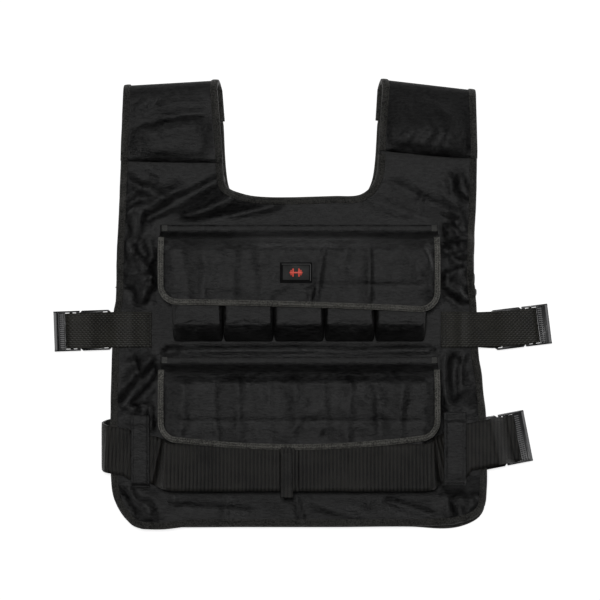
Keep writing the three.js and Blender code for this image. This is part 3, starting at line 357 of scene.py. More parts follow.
def finish_piece(
    shape, name, material, stands_for=(), thick=0.0, offset=-1.0, round_levels=0, bevel=0.0,
):
    """Puts a shape in the vest's frame in metres, dresses it and lets it ride on the vest."""
    for vert in shape.verts:
        vert.co.z = max(vert.co.z, ON_FLOOR)
    resize(shape, MM)
    bmesh.ops.translate(shape, vec=ORIGIN, verts=shape.verts)
    piece = put_in_scene(shape, name)
    piece.data.polygons.foreach_set("use_smooth", [True] * len(piece.data.polygons))
    piece.data.materials.append(material)
    if bevel:
        edge = piece.modifiers.new("edge", "BEVEL")
        edge.width = bevel * MM
        edge.segments = 2
        edge.limit_method = "ANGLE"
        edge.harden_normals = True
    if round_levels:
        rounding = piece.modifiers.new("rounding", "SUBSURF")
        rounding.levels = rounding.render_levels = round_levels
    if thick:
        wall = piece.modifiers.new("wall", "SOLIDIFY")
        wall.thickness = thick * MM
        wall.offset = offset
    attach(piece, "root")
    if stands_for:
        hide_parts(*stands_for)
    return piece


def diced(outline, step):
    """A flat piece of cloth cut to an outline and divided into small cells."""
    shape = bmesh.new()
    shape.faces.new([shape.verts.new((point[0], point[1], 0)) for point in outline])
    for axis in (1, 0):
        low = min(vert.co[axis] for vert in shape.verts)
        high = max(vert.co[axis] for vert in shape.verts)
        count = max(1, round((high - low) / step))
        for cut in range(1, count):
            spot = Vector((0, 0, 0))
            spot[axis] = lerp(low, high, cut / count)
            normal = Vector((0, 0, 0))
            normal[axis] = 1
            everything = shape.verts[:] + shape.edges[:] + shape.faces[:]
            bmesh.ops.bisect_plane(shape, geom=everything, dist=0.01, plane_co=spot, plane_no=normal)
    bmesh.ops.recalc_face_normals(shape, faces=shape.faces)
    if shape.faces[0].normal.z < 0:
        bmesh.ops.reverse_faces(shape, faces=shape.faces)
    return shape


def flat_area(outline):
    total = 0
    for (x0, y0), (x1, y1) in zip(outline, outline[1:] + outline[:1]):
        total += x0 * y1 - x1 * y0
    return abs(total) / 2 * MM * MM


def flat_size(outline):
    return tuple((max(places) - min(places)) * MM for places in zip(*outline))


def swept(rings, solid=True):
    """A skin through rings that have as many points each; a solid is closed all round and at its ends."""
    shape = bmesh.new()
    loops = [[shape.verts.new(point) for point in ring] for ring in rings]
    count = len(rings[0])
    for near, far in zip(loops, loops[1:]):
        for step in range(count if solid else count - 1):
            after = (step + 1) % count
            shape.faces.new((near[step], near[after], far[after], far[step]))
    if solid:
        shape.faces.new(loops[0][::-1])
        shape.faces.new(loops[-1])
    bmesh.ops.recalc_face_normals(shape, faces=shape.faces)
    return shape


# Folds: each row gives both ends, the width on one side, the width on the other, and the rise
def fold_rise(folds, x, y):
    total = 0.0
    for x0, y0, x1, y1, width, steep, rise in folds:
        dx, dy = x1 - x0, y1 - y0
        length = math.hypot(dx, dy)
        ax, ay = x - x0, y - y0
        reach = (ax * dx + ay * dy) / length
        past = max(0.0, -reach, reach - length)
        side = (ax * dy - ay * dx) / length
        across = side / (width if side > 0 else steep)
        if past <= 3 * width and abs(across) <= 4:
            total += rise * math.exp(-abs(across) ** 1.5 - (past / (width * 1.5)) ** 2)
    return total


def ripple(x, y, size, seed=0.0):
    """Soft unevenness between -1 and 1."""
    return noise.noise(Vector((x / size, y / size, seed)))


def crumple(x, y, size, seed=0.0):
    """Sharp-edged unevenness of cloth that has been folded, between 0 and 1."""
    bent = ripple(x, y, size * 2.2, seed + 5) * 0.6
    return 1 - min(1.0, 2.4 * abs(noise.noise(Vector((x / size + bent, y / size - bent, seed)))))


# Front panel
FRONT_FOLDS = [
    (-90, 373, -131, 351, 4, 5, -4.5), (-131, 351, -160, 335, 4, 5, -4.0), (-63, 361, -118, 334, 6, 15, 5.0),
    (-28, 346, -108, 328, 6, 4, -3.0), (-159, 347, -132, 363, 6, 8, 1.6), (-188, 351, -174, 363, 4, 3, 3.0),
    (-188, 335, -174, 345, 4, 3, 2.6), (-183, 374, -149, 357, 8, 5, 2.2), (-170, 329, -177, 301, 8, 4, 3.5),
    (-180, 303, -163, 281, 6, 3, 4.0), (-163, 281, -151, 300, 6, 4, 2.6), (-187, 278, -159, 263, 7, 4, 2.8),
    (-159, 263, -170, 242, 6, 4, 2.6), (-143, 180, -184, 136, 9, 3, -6.0), (-157, 182, -194, 147, 10, 6, 4.0),
    (-194, 135, -177, 130, 4, 2.5, -3.0), (108, 368, 164, 338, 9, 5, 1.2), (82, 353, 142, 327, 10, 6, -1.2),
    (172, 390, 180, 360, 8, 3, -4.0), (134, 360, 130, 352, 3, 2, -1.6), (81, 328, 140, 328, 4, 3, 1.6),
    (140, 314, 163, 293, 8, 4, -5.0), (155, 325, 183, 310, 7, 4, 3.4), (157, 291, 182, 297, 6, 3, 3.2),
    (152, 271, 179, 280, 6, 3, 2.8), (157, 262, 183, 246, 5, 3, 3.0), (154, 254, 172, 240, 4, 3, -2.6),
    (157, 192, 155, 147, 8, 4, 3.4), (168, 190, 167, 143, 5, 4, -3.0), (183, 197, 194, 169, 5, 3, 2.6),
    (-4, 35, 4, 9, 3, 2, 1.6), (71, 38, 76, 25, 3, 2, 1.3), (-78, 32, -80, 14, 5, 4, 1.0),
    (-136, 49, -134, 34, 4, 3, 1.8), (172, 55, 192, 19, 6, 4, 2.6), (158, 40, 177, 11, 6, 4, -2.2),
    (-187, 44, -159, 17, 8, 6, 2.0), (-140, 191, -20, 192, 4, 3, -2.2), (-10, 193, 60, 190, 3, 3, -1.6),
    (70, 191, 140, 192, 4, 3, -2.2), (-158, 250, -156, 200, 5, 3, -3.0), (-160, 130, -158, 90, 5, 3, -3.0),
    (157, 238, 160, 200, 5, 3, -3.0), (-190, 225, -170, 160, 6, 3, -2.5), (170, 330, 188, 250, 6, 3, -2.5),
    (-120, 24, -60, 20, 7, 3, -1.4), (20, 26, 60, 14, 5, 3, 1.2), (100, 30, 140, 16, 6, 3, -1.6),
]
SIDE_BUCKLE_HEIGHT = 11
BELT_BUCKLE_HEIGHT = 12
# How far the panels rise over the belt and over its buckle
BELT_RISE = BELT_THICK + REST_GAP + 1.5
BUCKLE_RISE = BELT_BUCKLE_HEIGHT + REST_GAP + 1.5


def over_band(y):
    return smooth(y, BAND_LOW, BAND_LOW + BAND_RAMP) * (1 - smooth(y, BAND_HIGH - BAND_RAMP, BAND_HIGH))


def buckle_hump(x, y):
    return BUCKLE_RISE * smooth(x, HALF_HEM * 0.7, HALF_HEM * 0.86) * over_band(y)


def back_under(x, y):
    return max(BELT_RISE * over_band(y), buckle_hump(x, y))


def front_base(x, y):
    """Underside of the front panel without its folds."""
    sideways = 1 - smooth(abs(x), FLAP_HALF + 5, HALF_HEM * 0.965)
    upwards = 1 - smooth(y, NECK_LINE - 12, NECK_LINE + 28)
    lifted = max(buckle_hump(x, y), BELT_RISE * over_band(y) * (1 - sideways))
    return EDGE_LOW + (CHEST_LOW - EDGE_LOW) * sideways * upwards + lifted


def front_top(x, y):
    """Upper face of the front panel, with the folds that are clear of what lies on it."""
    off_row = max(
        smooth(abs(x), FLAP_HALF + 2, FLAP_HALF + 10), smooth(y, 329, 338), 1 - smooth(y, 28, 42),
        smooth(y, 185, 188) * (1 - smooth(y, 195, 199)),
    )
    off_edge = 1 - smooth(abs(x), HALF_HEM * 0.88, HALF_HEM * 0.97)
    off_stub = 1 - smooth(y, VEST_LENGTH * 0.775, VEST_LENGTH * 0.81)
    off_strap = smooth(abs(y - SIDE_STRAP_LINE), 22, 34) if abs(x) > 150 else 1
    belt_y = BELT_LINE + 14 * smooth(abs(x), ROW_HALF, HALF_HEM)
    off_belt = smooth(abs(y - belt_y), 27, 40)
    kept = off_row * off_stub * off_strap * off_belt
    folds = fold_rise(FRONT_FOLDS, x, y) * (0.4 + 0.6 * off_edge)
    beside = smooth(abs(x), FLAP_HALF, FLAP_HALF + 12)
    small = 1.3 * ripple(x, y, 26, 1) + 0.6 * ripple(x, y, 9, 2) + beside * (
        6.0 * (crumple(x, y, 28, 3) - 0.4) + 2.0 * (crumple(x, y, 13, 7) - 0.4))
    return front_base(x, y) + PANEL + max(-6.0, (2.3 * folds + small * (0.4 + 0.6 * off_edge)) * kept)


FRONT_OUTLINE = [
    (-0.926, 0.023), (-0.872, 0.006), (-0.744, 0.001), (-0.594, 0.007), (-0.3, 0.008), (0.0, 0.008),
    (0.35, 0.008), (0.669, 0.009), (0.867, 0.015), (0.958, 0.031), (0.993, 0.051), (1.0, 0.08),
    (0.99, 0.245), (0.979, 0.331), (0.956, 0.395), (0.947, 0.502), (0.934, 0.56), (0.936, 0.644),
    (0.947, 0.743), (0.95, 0.843), (0.946, 0.935),
    (0.45, 0.957), (0.433, 0.863), (0.424, 0.79), (0.387, 0.757), (0.32, 0.739), (0.19, 0.737),
    (-0.09, 0.734), (-0.25, 0.737), (-0.34, 0.746), (-0.395, 0.76), (-0.411, 0.78), (-0.425, 0.883),
    (-0.443, 0.957), (-0.94, 0.945),
    (-0.952, 0.819), (-0.96, 0.732), (-0.974, 0.606), (-0.979, 0.508), (-0.991, 0.482), (-1.0, 0.387),
    (-1.006, 0.24), (-1.0, 0.09), (-0.974, 0.052),
]
BACK_OUTLINE = [
    (-0.92, 0.025), (-0.86, 0.008), (-0.744, 0.003), (-0.3, 0.003), (0.2, 0.003), (0.6, 0.004),
    (0.781, 0.0), (0.88, 0.006), (0.965, 0.024), (0.996, 0.05), (0.998, 0.245), (0.962, 0.395),
    (0.94, 0.544), (0.94, 0.7), (0.944, 0.884),
    (0.43, 0.908), (0.408, 0.79), (0.37, 0.748), (0.3, 0.728), (0.0, 0.726), (-0.25, 0.726),
    (-0.36, 0.742), (-0.395, 0.78), (-0.415, 0.906), (-0.938, 0.894),
    (-0.962, 0.65), (-0.985, 0.48), (-1.0, 0.3), (-0.998, 0.08), (-0.97, 0.05),
]


def plan_of(shares):
    return [(across * HALF_HEM, up * VEST_LENGTH) for across, up in shares]


def rounded_plan(shares, step, corners):
    """A smooth outline that keeps the given corners sharp."""
    plan = plan_of(shares)
    turn = corners[0]
    plan = plan[turn:] + plan[:turn]
    stops = [corner - turn for corner in corners] + [len(plan)]
    points = []
    for start, end in zip(stops, stops[1:]):
        run = [(*plan[at % len(plan)], 0) for at in range(start, end + 1)]
        points += [(point.x, point.y) for point in curve_through(run, step)[:-1]]
    return points


def bound_edge(path, section, middle):
    """Carries a section along an edge: each row is (distance in from the edge, height over the middle)."""
    rings = []
    for index, point in enumerate(path):
        before = path[max(0, index - 1)]
        after = path[min(index + 1, len(path) - 1)]
        along = Vector((after[0] - before[0], after[1] - before[1])).normalized()
        inward = Vector((-along.y, along.x))
        ring = []
        for distance, height in section:
            x, y = point[0] + inward.x * distance, point[1] + inward.y * distance
            ring.append((x, y, middle(x, y) + height))
        rings.append(ring)
    return swept(rings)


def tape_section(width, half, thick=TAPE):
    """Section of a tape folded round an edge whose half thickness is given."""
    out, inner = half + thick, half + 0.1
    turns = (0.5, 1.1, 1.57, 2.04, 2.64)
    bend = [(-thick * math.sin(turn) - 0.2, out * math.cos(turn)) for turn in turns]
    over = [(width, out - 0.5), (width - 0.7, out), (width * 0.5, out + 0.15), (1.0, out)]
    under = [(distance, -height) for distance, height in over[::-1]]
    back = [(width, -inner), (0.2, -inner), (0.2, inner), (width, inner)]
    return over + bend + under + back


def stitch_run(shape, path, pitch, length, wide, top=None, inset=0, lean=0.0):
    """Adds a run of stitches beside a path, laid on a surface or at the path's own height."""
    walked = 0.0
    turn = 1
    for near, far in zip(path, path[1:]):
        walked += math.hypot(far[0] - near[0], far[1] - near[1])
        if walked < pitch:
            continue
        walked -= pitch
        along = Vector((far[0] - near[0], far[1] - near[1])).normalized()
        inward = Vector((-along.y, along.x))
        x, y = far[0] + inward.x * inset, far[1] + inward.y * inset
        angle = math.atan2(along.y, along.x) + lean * turn
        turn = -turn
        place = Matrix.Translation((x, y, top(x, y) if top else far[2])) @ Matrix.Rotation(angle, 4, "Z")
        size = Matrix.Diagonal((length, wide, 0.5, 1))
        bmesh.ops.create_icosphere(shape, subdivisions=1, radius=0.5, matrix=place @ size)


def thread_piece(name, runs, thread=THREAD):
    shape = bmesh.new()
    for run in runs:
        stitch_run(shape, **run)
    return finish_piece(shape, name, thread)


def edge_tape(shape, place):
    return finish_piece(shape, f"{place}_tape", EDGE_TAPE, [f"{place}_binding"])


def raise_cloth(shape, top):
    for vert in shape.verts:
        vert.co.z = top(vert.co.x, vert.co.y)


PANEL_SECTION = tape_section(TAPE_WIDTH, PANEL / 2)


def front_middle(x, y):
    return front_top(x, y) - PANEL / 2


def back_small(x, y):
    return 0.8 * ripple(x, y, 34, 11) + 0.3 * ripple(x, y, 11, 12)


def back_middle(x, y):
    fade = smooth(y, 10, 30) * (1 - smooth(y, 400, 425)) * (1 - smooth(abs(x), 165, 190))
    return back_under(x, y) + PANEL / 2 + max(0.0, back_small(x, y)) * fade


def edge_run(points, keep):
    """The longest unbroken run of a closed outline whose points are kept."""
    kept = [keep(point) for point in points]
    start = next(at for at in range(len(points)) if kept[at] and not kept[at - 1])
    turned = points[start:] + points[:start]
    runs, run = [], []
    for point in turned:
        if keep(point):
            run.append(point)
        elif run:
            runs.append(run)
            run = []
    return max(runs + [run], key=len)


def under_shoulder(point):
    return point[1] > 0.835 * VEST_LENGTH


def past_seam(point):
    """True above the seam where a shoulder piece's back leg meets the back panel."""
    plan = SHOULDERS["left" if point[0] < 0 else "right"]
    share = (abs(point[0]) / HALF_HEM - plan.top_outer) / (plan.top_inner - 0.03 - plan.top_outer)
    return point[1] > VEST_LENGTH * (lerp(*plan.top_up, share) - 0.09) + 2


# An edge nearer the middle than this, and higher than this, is the neckline
NECK_REACH = 100
NECK_FOOT = 330


def at_neck(point):
    return abs(point[0]) < NECK_REACH and point[1] > NECK_FOOT


def build_panel(side, outline, cell, top, middle, covered, rows, pitch, clear, more=()):
    """A panel with the tape round its edges; rows gives the inset and the lean of each row of stitches."""
    shape = diced(outline, cell)
    raise_cloth(shape, top)
    panel = finish_piece(shape, f"{side}_body", BODY_CLOTH, [f"{side}_panel"], PANEL)
    bare = {
        "edge": edge_run(outline, lambda point: not covered(point) and not at_neck(point)),
        "neck": edge_run(outline, lambda point: not covered(point) and at_neck(point)),
    }
    for part, run in bare.items():
        tape = bound_edge(run, PANEL_SECTION, middle)
        edge_tape(tape, f"{side}_{part}")
    above = lambda x, y: top(x, y) + TAPE + clear
    thread_piece(f"{side}_tape_stitches", [
        dict(path=run, top=above, inset=inset, pitch=pitch, length=3.0, wide=0.7, lean=lean)
        for run in bare.values() for inset, lean in rows
    ] + list(more))
    flat_size(outline)
    flat_area(outline)


OUTER_STITCH = TAPE_WIDTH - 2.2
INNER_STITCH = TAPE_WIDTH - 5.4
UNDER_POUCHES = 198.2


def build_front():
    build_panel(
        "front", rounded_plan(FRONT_OUTLINE, 3, [20, 21, 33, 34]), 3.0, front_top, front_middle,
        under_shoulder, ((OUTER_STITCH, 0.7), (INNER_STITCH, 0.0)), 2.9, 0.2, [dict(
            path=[(step * 1.0 - ROW_HALF, UNDER_POUCHES) for step in range(2 * ROW_HALF)],
            top=lambda x, y: front_top(x, y) + 0.2, pitch=3.4, length=2.6, wide=0.8,
        )],
    )


def build_back():
    build_panel(
        "back", rounded_plan(BACK_OUTLINE, 4, [14, 15, 23, 24]), 5.0,
        lambda x, y: back_middle(x, y) + PANEL / 2,
        lambda x, y: max(back_middle(x, y), PANEL / 2 + TAPE + 0.1), past_seam,
        ((OUTER_STITCH, 0.7),), 3.2, 0.3,
    )


# Shoulder pieces
Shoulder = namedtuple("Shoulder", "side hem_outer hem_inner top_outer top_inner hem_up top_up folds seed pad")
SHOULDERS = {
    "left": Shoulder(-1, 0.952, 0.414, 0.936, 0.449, (0.818, 0.814), (0.986, 0.998), [
        (-184, 429, -159, 441, 6, 2.5, -5.0), (-159, 441, -96, 448, 6, 2.5, -5.5),
        (-183, 437, -149, 462, 4, 2, -6.0), (-181, 442, -147, 467, 5, 3, 3.0),
        (-175, 421, -101, 434, 8, 5, 3.5), (-143, 462, -101, 466, 7, 4, 2.2),
        (-159, 406, -110, 417, 8, 6, 1.5),
    ], 21, 1),
    "right": Shoulder(1, 0.95, 0.433, 0.942, 0.457, (0.823, 0.841), (0.976, 1.0), [
        (96, 402, 118, 424, 6, 3, 2.4), (118, 400, 140, 424, 6, 3, 2.2), (150, 398, 164, 428, 6, 3, 2.6),
        (164, 428, 184, 418, 6, 3, 2.2), (95, 411, 129, 406, 5, 3, -3.0), (135, 407, 181, 407, 5, 3, 2.8),
        (108, 464, 129, 440, 8, 4, 1.8), (140, 460, 174, 436, 9, 5, 1.6), (118, 467, 135, 456, 3, 2, 2.4),
        (144, 456, 162, 440, 3, 2, 2.4),
    ], 27, 3),
}
SHOULDER_LOW = EDGE_LOW + PANEL + 1.8
BACK_LEG = 0.09 * VEST_LENGTH
# How far the inner edge spreads from the front leg to the back leg, as a share of half the hem
FOLD_SPREAD = 0.024


def shoulder_place(plan, across, along):
    """A point of a shoulder piece's middle: along is up to 1 in front, 2 on the fold and 3 behind."""
    radius = SHOULDER_LOW / 2
    hem_y = VEST_LENGTH * lerp(*plan.hem_up, across)
    top_y = VEST_LENGTH * lerp(*plan.top_up, across)
    fold_y = top_y - radius - PANEL / 2
    y = lerp(hem_y, fold_y, min(along, 1))
    z = SHOULDER_LOW + PANEL / 2
    spread = 0
    if along > 1:
        turn = min(along - 1, 1)
        y = fold_y + radius * math.cos(math.pi * (0.5 - turn))
        z = PANEL / 2 + radius + radius * math.sin(math.pi * (0.5 - turn))
        spread = turn * FOLD_SPREAD
    if along > 2:
        y = lerp(fold_y, top_y - BACK_LEG, along - 2)
        z = PANEL / 2
    share = clamp((y - hem_y) / (top_y - hem_y))
    outer = lerp(plan.hem_outer, plan.top_outer, share)
    inner = lerp(plan.hem_inner, plan.top_inner, share) - spread
    x = plan.side * HALF_HEM * lerp(outer, inner, across)
    if along < 1:
        inside = smooth(across, 0.04, 0.3) * (1 - smooth(across, 0.7, 0.96))
        on_leg = (1 - smooth(along, 0.72, 1.0)) * smooth(along, 0.02, 0.16)
        folds = (
            1.6 * fold_rise(plan.folds, x, y) + 2.2 * (crumple(x, y, 26, plan.seed) - 0.4)
            + ripple(x, y, 14, plan.seed)
        )
        padded = smooth(across, 0.05, 0.16) * (1 - smooth(across, 0.86, 0.96))
        slope = smooth(along, 0.02, 0.14) * (1 - smooth(along, 0.3, 1.0))
        z += max(-0.9, 4.5 + folds) * inside * on_leg + plan.pad * padded * slope
    return Vector((x, y, z))


def build_shoulder(name, plan):
    columns, rows = 36, 48
    reach = lambda step: 3 * step / rows
    middles = [
        [shoulder_place(plan, column / columns, reach(row)) for column in range(columns + 1)]
        for row in range(rows + 1)
    ]
    shape = swept(middles, solid=False)
    width = HALF_HEM * (plan.hem_outer - plan.hem_inner) * MM
    length = ((plan.top_up[0] - plan.hem_up[0]) * VEST_LENGTH + BACK_LEG + 12) * MM
    body = finish_piece(
        shape, f"{name}_shoulder_cloth", SHOULDER_CLOTH_RIGHT_PAINTED_SHADE[name], [f"{name}_shoulder"], PANEL, 0.0,
    )
    tapes, runs = [], []
    for edge, sign, part in ((0.0, 1, "outer"), (1.0, -1, "inner")):
        rings, path = [], []
        for along in (reach(row) for row in range(rows + 1)):
            rim = shoulder_place(plan, edge, along)
            inside = shoulder_place(plan, edge + sign * 0.1, along)
            ahead = shoulder_place(plan, edge, min(3, along + 0.05))
            behind = shoulder_place(plan, edge, max(0, along - 0.05))
            inward = (inside - rim).normalized()
            normal = inward.cross(ahead - behind).normalized() * sign * -plan.side
            rings.append([rim + inward * distance + normal * height for distance, height in PANEL_SECTION])
            if along <= 1:
                path.append(rim + inward * OUTER_STITCH + normal * (PANEL / 2 + TAPE + 0.2))
        tapes.append(edge_tape(swept(rings), f"{name}_shoulder_{part}"))
        runs.append(dict(path=curve_through(path, 1.0), pitch=2.9, length=3.0, wide=0.7, lean=0.7))
    stitches = thread_piece(f"{name}_shoulder_stitches", runs)


# Pouches
PouchRing = namedtuple("PouchRing", "height side foot head")
POUCH_RINGS = [
    PouchRing(0.0, 0.0, 0.0, 0.0), PouchRing(0.4, 0.0, 0.36, 0.01), PouchRing(0.86, 0.008, 0.82, 0.03),
    PouchRing(1.0, 0.03, 1.0, 0.08),
]
FOOT_SLOPE = 19
SEAM_GAP = 0.6
POUCH_CELL = 1.6
POUCH_PRESSURE = 3
PUFF_FRAMES = 20
# How far the cloth may move out, and in towards the weight that fills it
BULGE = 2.5
WEIGHT_GAP = 0.3


def pouch_shape(shrink):
    half = (POUCH_PITCH - SEAM_GAP) / 2
    corner = 2
    rings = []
    for row in POUCH_RINGS:
        x = half - row.side * POUCH_PITCH - shrink
        foot = row.foot * FOOT_SLOPE + shrink
        head = POUCH_LENGTH - row.head * POUCH_PITCH - shrink
        z = lerp(POUCH_BASE + shrink, POUCH_TOP - shrink, row.height)
        rings.append([
            (-x + corner, foot, z), (x - corner, foot, z), (x, foot + corner, z), (x, head - corner, z),
            (x - corner, head, z), (-x + corner, head, z), (-x, head - corner, z), (-x, foot + corner, z),
        ])
    return swept(rings)


def puffed(shape):
    """A stitched cloth shell blown up a little, so that it bulges over what fills it."""
    resize(shape, MM)
    shell = put_in_scene(shape, "filled_pouch")
    scene = bpy.context.scene
    remesh = shell.modifiers.new("remesh", "REMESH")
    remesh.mode = "VOXEL"
    remesh.voxel_size = POUCH_CELL * MM
    graph = bpy.context.evaluated_depsgraph_get()
    even = bpy.data.meshes.new_from_object(shell.evaluated_get(graph))
    shell.modifiers.clear()
    shell.data = even
    starts = [(vert.co.copy(), vert.normal.copy()) for vert in even.vertices]
    cloth = shell.modifiers.new("cloth", "CLOTH")
    cloth.settings.use_pressure = True
    cloth.settings.uniform_pressure_force = POUCH_PRESSURE
    cloth.settings.effector_weights.gravity = 0
    cloth.settings.quality = 6
    cloth.point_cache.frame_start, cloth.point_cache.frame_end = 1, PUFF_FRAMES
    for step in range(1, PUFF_FRAMES + 1):
        scene.frame_set(step)
    graph = bpy.context.evaluated_depsgraph_get()
    blown = bpy.data.meshes.new_from_object(shell.evaluated_get(graph))
    shell.modifiers.clear()
    scene.frame_set(1)
    result = bmesh.new()
    result.from_mesh(blown)
    result.verts.ensure_lookup_table()
    for vert, (start, normal) in zip(result.verts, starts):
        move = vert.co - start
        inward = min(0.0, move.dot(normal) + WEIGHT_GAP * MM)
        move -= normal * inward
        if move.length > BULGE * MM:
            move = move.normalized() * BULGE * MM
        vert.co = start + move
    bpy.data.objects.remove(shell)
    resize(result, 1 / MM)
    return result


def build_pouches():
    filled = puffed(pouch_shape(WEIGHT_GAP))
    for vert in filled.verts:
        x, y, z = vert.co
        vert.co.z = clamp(z, POUCH_BASE, POUCH_TOP + 0.5)
        vert.co.x = clamp(x, -POUCH_PITCH / 2 + 0.2, POUCH_PITCH / 2 - 0.2)
        vert.co.y = clamp(y, 0.2, POUCH_LENGTH)
    pattern = bpy.data.meshes.new("pouch_pattern")
    filled.to_mesh(pattern)
    filled.free()
    for row, foot in ROWS.items():
        for count in range(5):
            shape = bmesh.new()
            shape.from_mesh(pattern)
            seed = 40 + count + (10 if row == "upper" else 0)
            for vert in shape.verts:
                x, y, z = vert.co
                top = smooth(z, POUCH_BASE + 4, POUCH_TOP)
                vert.co.z = min(POUCH_TOP + 0.6, z + top * (0.5 + 0.9 * ripple(x, y, 18, seed)))
            bmesh.ops.translate(shape, vec=((count - 2) * POUCH_PITCH, foot, 0), verts=shape.verts)
            name, node = f"{row}_pouch_cloth_{count + 1}", f"{row}_pouch_{count + 1}"
            finish_piece(shape, name, POUCH_CLOTH, [node], round_levels=1)


# Flaps
FLAP_FOLDS = {
    "upper": [
        (30, 318, 17, 241, 5, 2, 1.3), (14, 256, 11, 239, 4, 2, -1.2), (75, 307, 75, 246, 6, 2, 1.4),
        (129, 304, 141, 282, 7, 3, 1.8), (113, 299, 134, 263, 9, 4, 1.1), (-125, 299, -117, 250, 11, 7, -1.5),
        (-100, 303, -102, 246, 10, 8, 1.2), (-68, 299, -72, 246, 10, 6, -1.2),
        (-42, 303, -40, 243, 9, 7, 1.0), (20, 261, 129, 261, 3, 3, -0.9), (49, 299, 47, 265, 9, 7, -0.9),
    ],
    "lower": [
        (-121, 169, -125, 100, 10, 6, 1.3), (-91, 169, -87, 98, 8, 5, -1.5), (-63, 166, -65, 96, 9, 5, 1.3),
        (-33, 166, -29, 96, 8, 6, -1.2), (-3, 164, -5, 96, 8, 5, 1.4), (25, 166, 29, 96, 9, 5, -1.3),
        (55, 164, 50, 96, 8, 5, 1.2), (82, 166, 87, 96, 8, 6, -1.3), (110, 166, 106, 98, 9, 5, 1.3),
        (-129, 117, 129, 117, 3, 3, -0.9),
    ],
}
FLAP_RUN = 12
FLANGE = 7.5
FLAP_CORNER = 20
# How far the free edge is moved up at the left corner, in the middle and at the right corner
FREE_EDGE = {"upper": (3.5, 1.0, -4.0), "lower": (6.5, -1.0, 8.0)}


def flap_middle(row):
    head = ROWS[row] + POUCH_LENGTH
    free = head - FLAP_DROPS[row]
    low = PANEL_TOP + 0.3 + FLAP_THICK / 2
    top = FLAP_LOW + FLAP_THICK / 2
    profile = [
        (free - 8, top), (free + 8, top), (lerp(free, head, 0.33), top + 0.8),
        (lerp(free, head, 0.66), top + 0.8), (head - 9, top),
        (head + FLAP_RUN * 0.25, lerp(low, top, 0.72)), (head + FLAP_RUN * 0.75, lerp(low, top, 0.18)),
        (head + FLAP_RUN, low), (head + FLAP_RUN + 20, low),
    ]

    def middle(x, y):
        hang = 9 * smooth(abs(x), ROW_HALF - 5, FLAP_HALF + 6)
        droop = 1 - smooth(y, head - 6, head + FLAP_RUN * 0.9)
        on_top = smooth(y, free - 3, free + 10) * (1 - smooth(y, head - 8, head + 2))
        divider = 0.5 - 0.5 * math.cos(2 * math.pi * (x / POUCH_PITCH + 0.5))
        sag = 0.5 * divider * (1 - smooth(abs(x), ROW_HALF - 20, ROW_HALF))
        small = (
            1.1 * ripple(x, y * 0.5, 20, 31) + 0.5 * ripple(x, y * 0.6, 8, 32)
            + 0.8 * crumple(x, y, 30, 33)
        )
        inner = 1 - smooth(abs(x), FLAP_HALF - 12, FLAP_HALF - 4)
        loose = (2.0 * fold_rise(FLAP_FOLDS[row], x, y) + 1.5 * small - sag) * on_top * (0.3 + 0.7 * inner)
        return along_table(profile, y) - droop * hang + loose

    return middle, head, free


def arc(cx, cy, radius, start, end, count=6):
    turns = [lerp(start, end, step / count) for step in range(count + 1)]
    return [(cx + radius * math.cos(turn), cy + radius * math.sin(turn)) for turn in turns]


def build_flap(row):
    middle, head, free = flap_middle(row)
    sewn = head + FLAP_RUN + FLANGE
    radius = FLAP_CORNER
    left_up, middle_up, right_up = FREE_EDGE[row]
    left = arc(-FLAP_HALF + radius, free + radius + left_up, radius, math.pi, 1.5 * math.pi)
    right = arc(FLAP_HALF - radius, free + radius + right_up, radius, 1.5 * math.pi, 2 * math.pi)
    between = []
    for step in range(1, 12):
        share = step / 12
        bow = (middle_up - (left_up + right_up) / 2) * (1 - (2 * share - 1) ** 2)
        up = lerp(left_up, right_up, share) + bow
        between.append((lerp(left[-1][0], right[0][0], share), free + up))
    rim = left + between + right
    outline = [(-FLAP_HALF, sewn)] + rim + [(FLAP_HALF, sewn)]
    shape = diced(outline, 2.4)
    raise_cloth(shape, lambda x, y: middle(x, y) + FLAP_THICK / 2)
    flap = finish_piece(shape, f"{row}_flap_cloth", FLAP_CLOTH, [f"{row}_flap"], FLAP_THICK)
    top_y = head + FLAP_RUN * 0.5
    path = [(-FLAP_HALF, top_y, 0)] + [(x, y, 0) for x, y in rim] + [(FLAP_HALF, top_y, 0)]
    path = [(point.x, point.y) for point in curve_through(path, 2.5)]
    tape = bound_edge(path, tape_section(FLAP_TAPE_WIDTH, FLAP_THICK / 2), middle)
    edge = finish_piece(tape, f"{row}_flap_tape_painted_highlight", FLAP_TAPE_PAINTED_HIGHLIGHT, [f"{row}_flap_binding"])
    above = lambda x, y: middle(x, y) + FLAP_THICK / 2 + TAPE + 0.2
    cloth = lambda x, y: middle(x, y) + FLAP_THICK / 2 + 0.1
    runs = [
        dict(path=path, top=above, inset=inset, pitch=2.6, length=2.6, wide=0.8, lean=lean)
        for inset, lean in ((FLAP_TAPE_WIDTH - 1.6, 0.6), (FLAP_TAPE_WIDTH - 4.6, 0.0))
    ]
    for y in (sewn - 1.8, sewn - FLANGE + 1.2):
        line = [(step * 2.0 - 140, y) for step in range(141)]
        runs.append(dict(path=line, top=cloth, pitch=3.0, length=2.6, wide=0.7))
    stitches = thread_piece(f"{row}_flap_stitches", runs)
    tacks = []
    for start in (-FLAP_HALF + 0.8, FLAP_HALF - 6.8):
        for step in range(5):
            line = [(start + along, sewn - FLANGE + 1.2 + step * 1.3) for along in range(7)]
            tacks.append(dict(path=line, top=cloth, pitch=1.0, length=1.7, wide=0.9, lean=0.5))
    bartacks = thread_piece(f"{row}_flap_bartacks", tacks, PALE_THREAD)
    (sewn - free + 12) * MM


# Straps
Station = namedtuple("Station", "x y z turn")
# Turns ride along a curve of their own as heights, made small so that they don't lengthen it
TURN_SHARE = 0.001


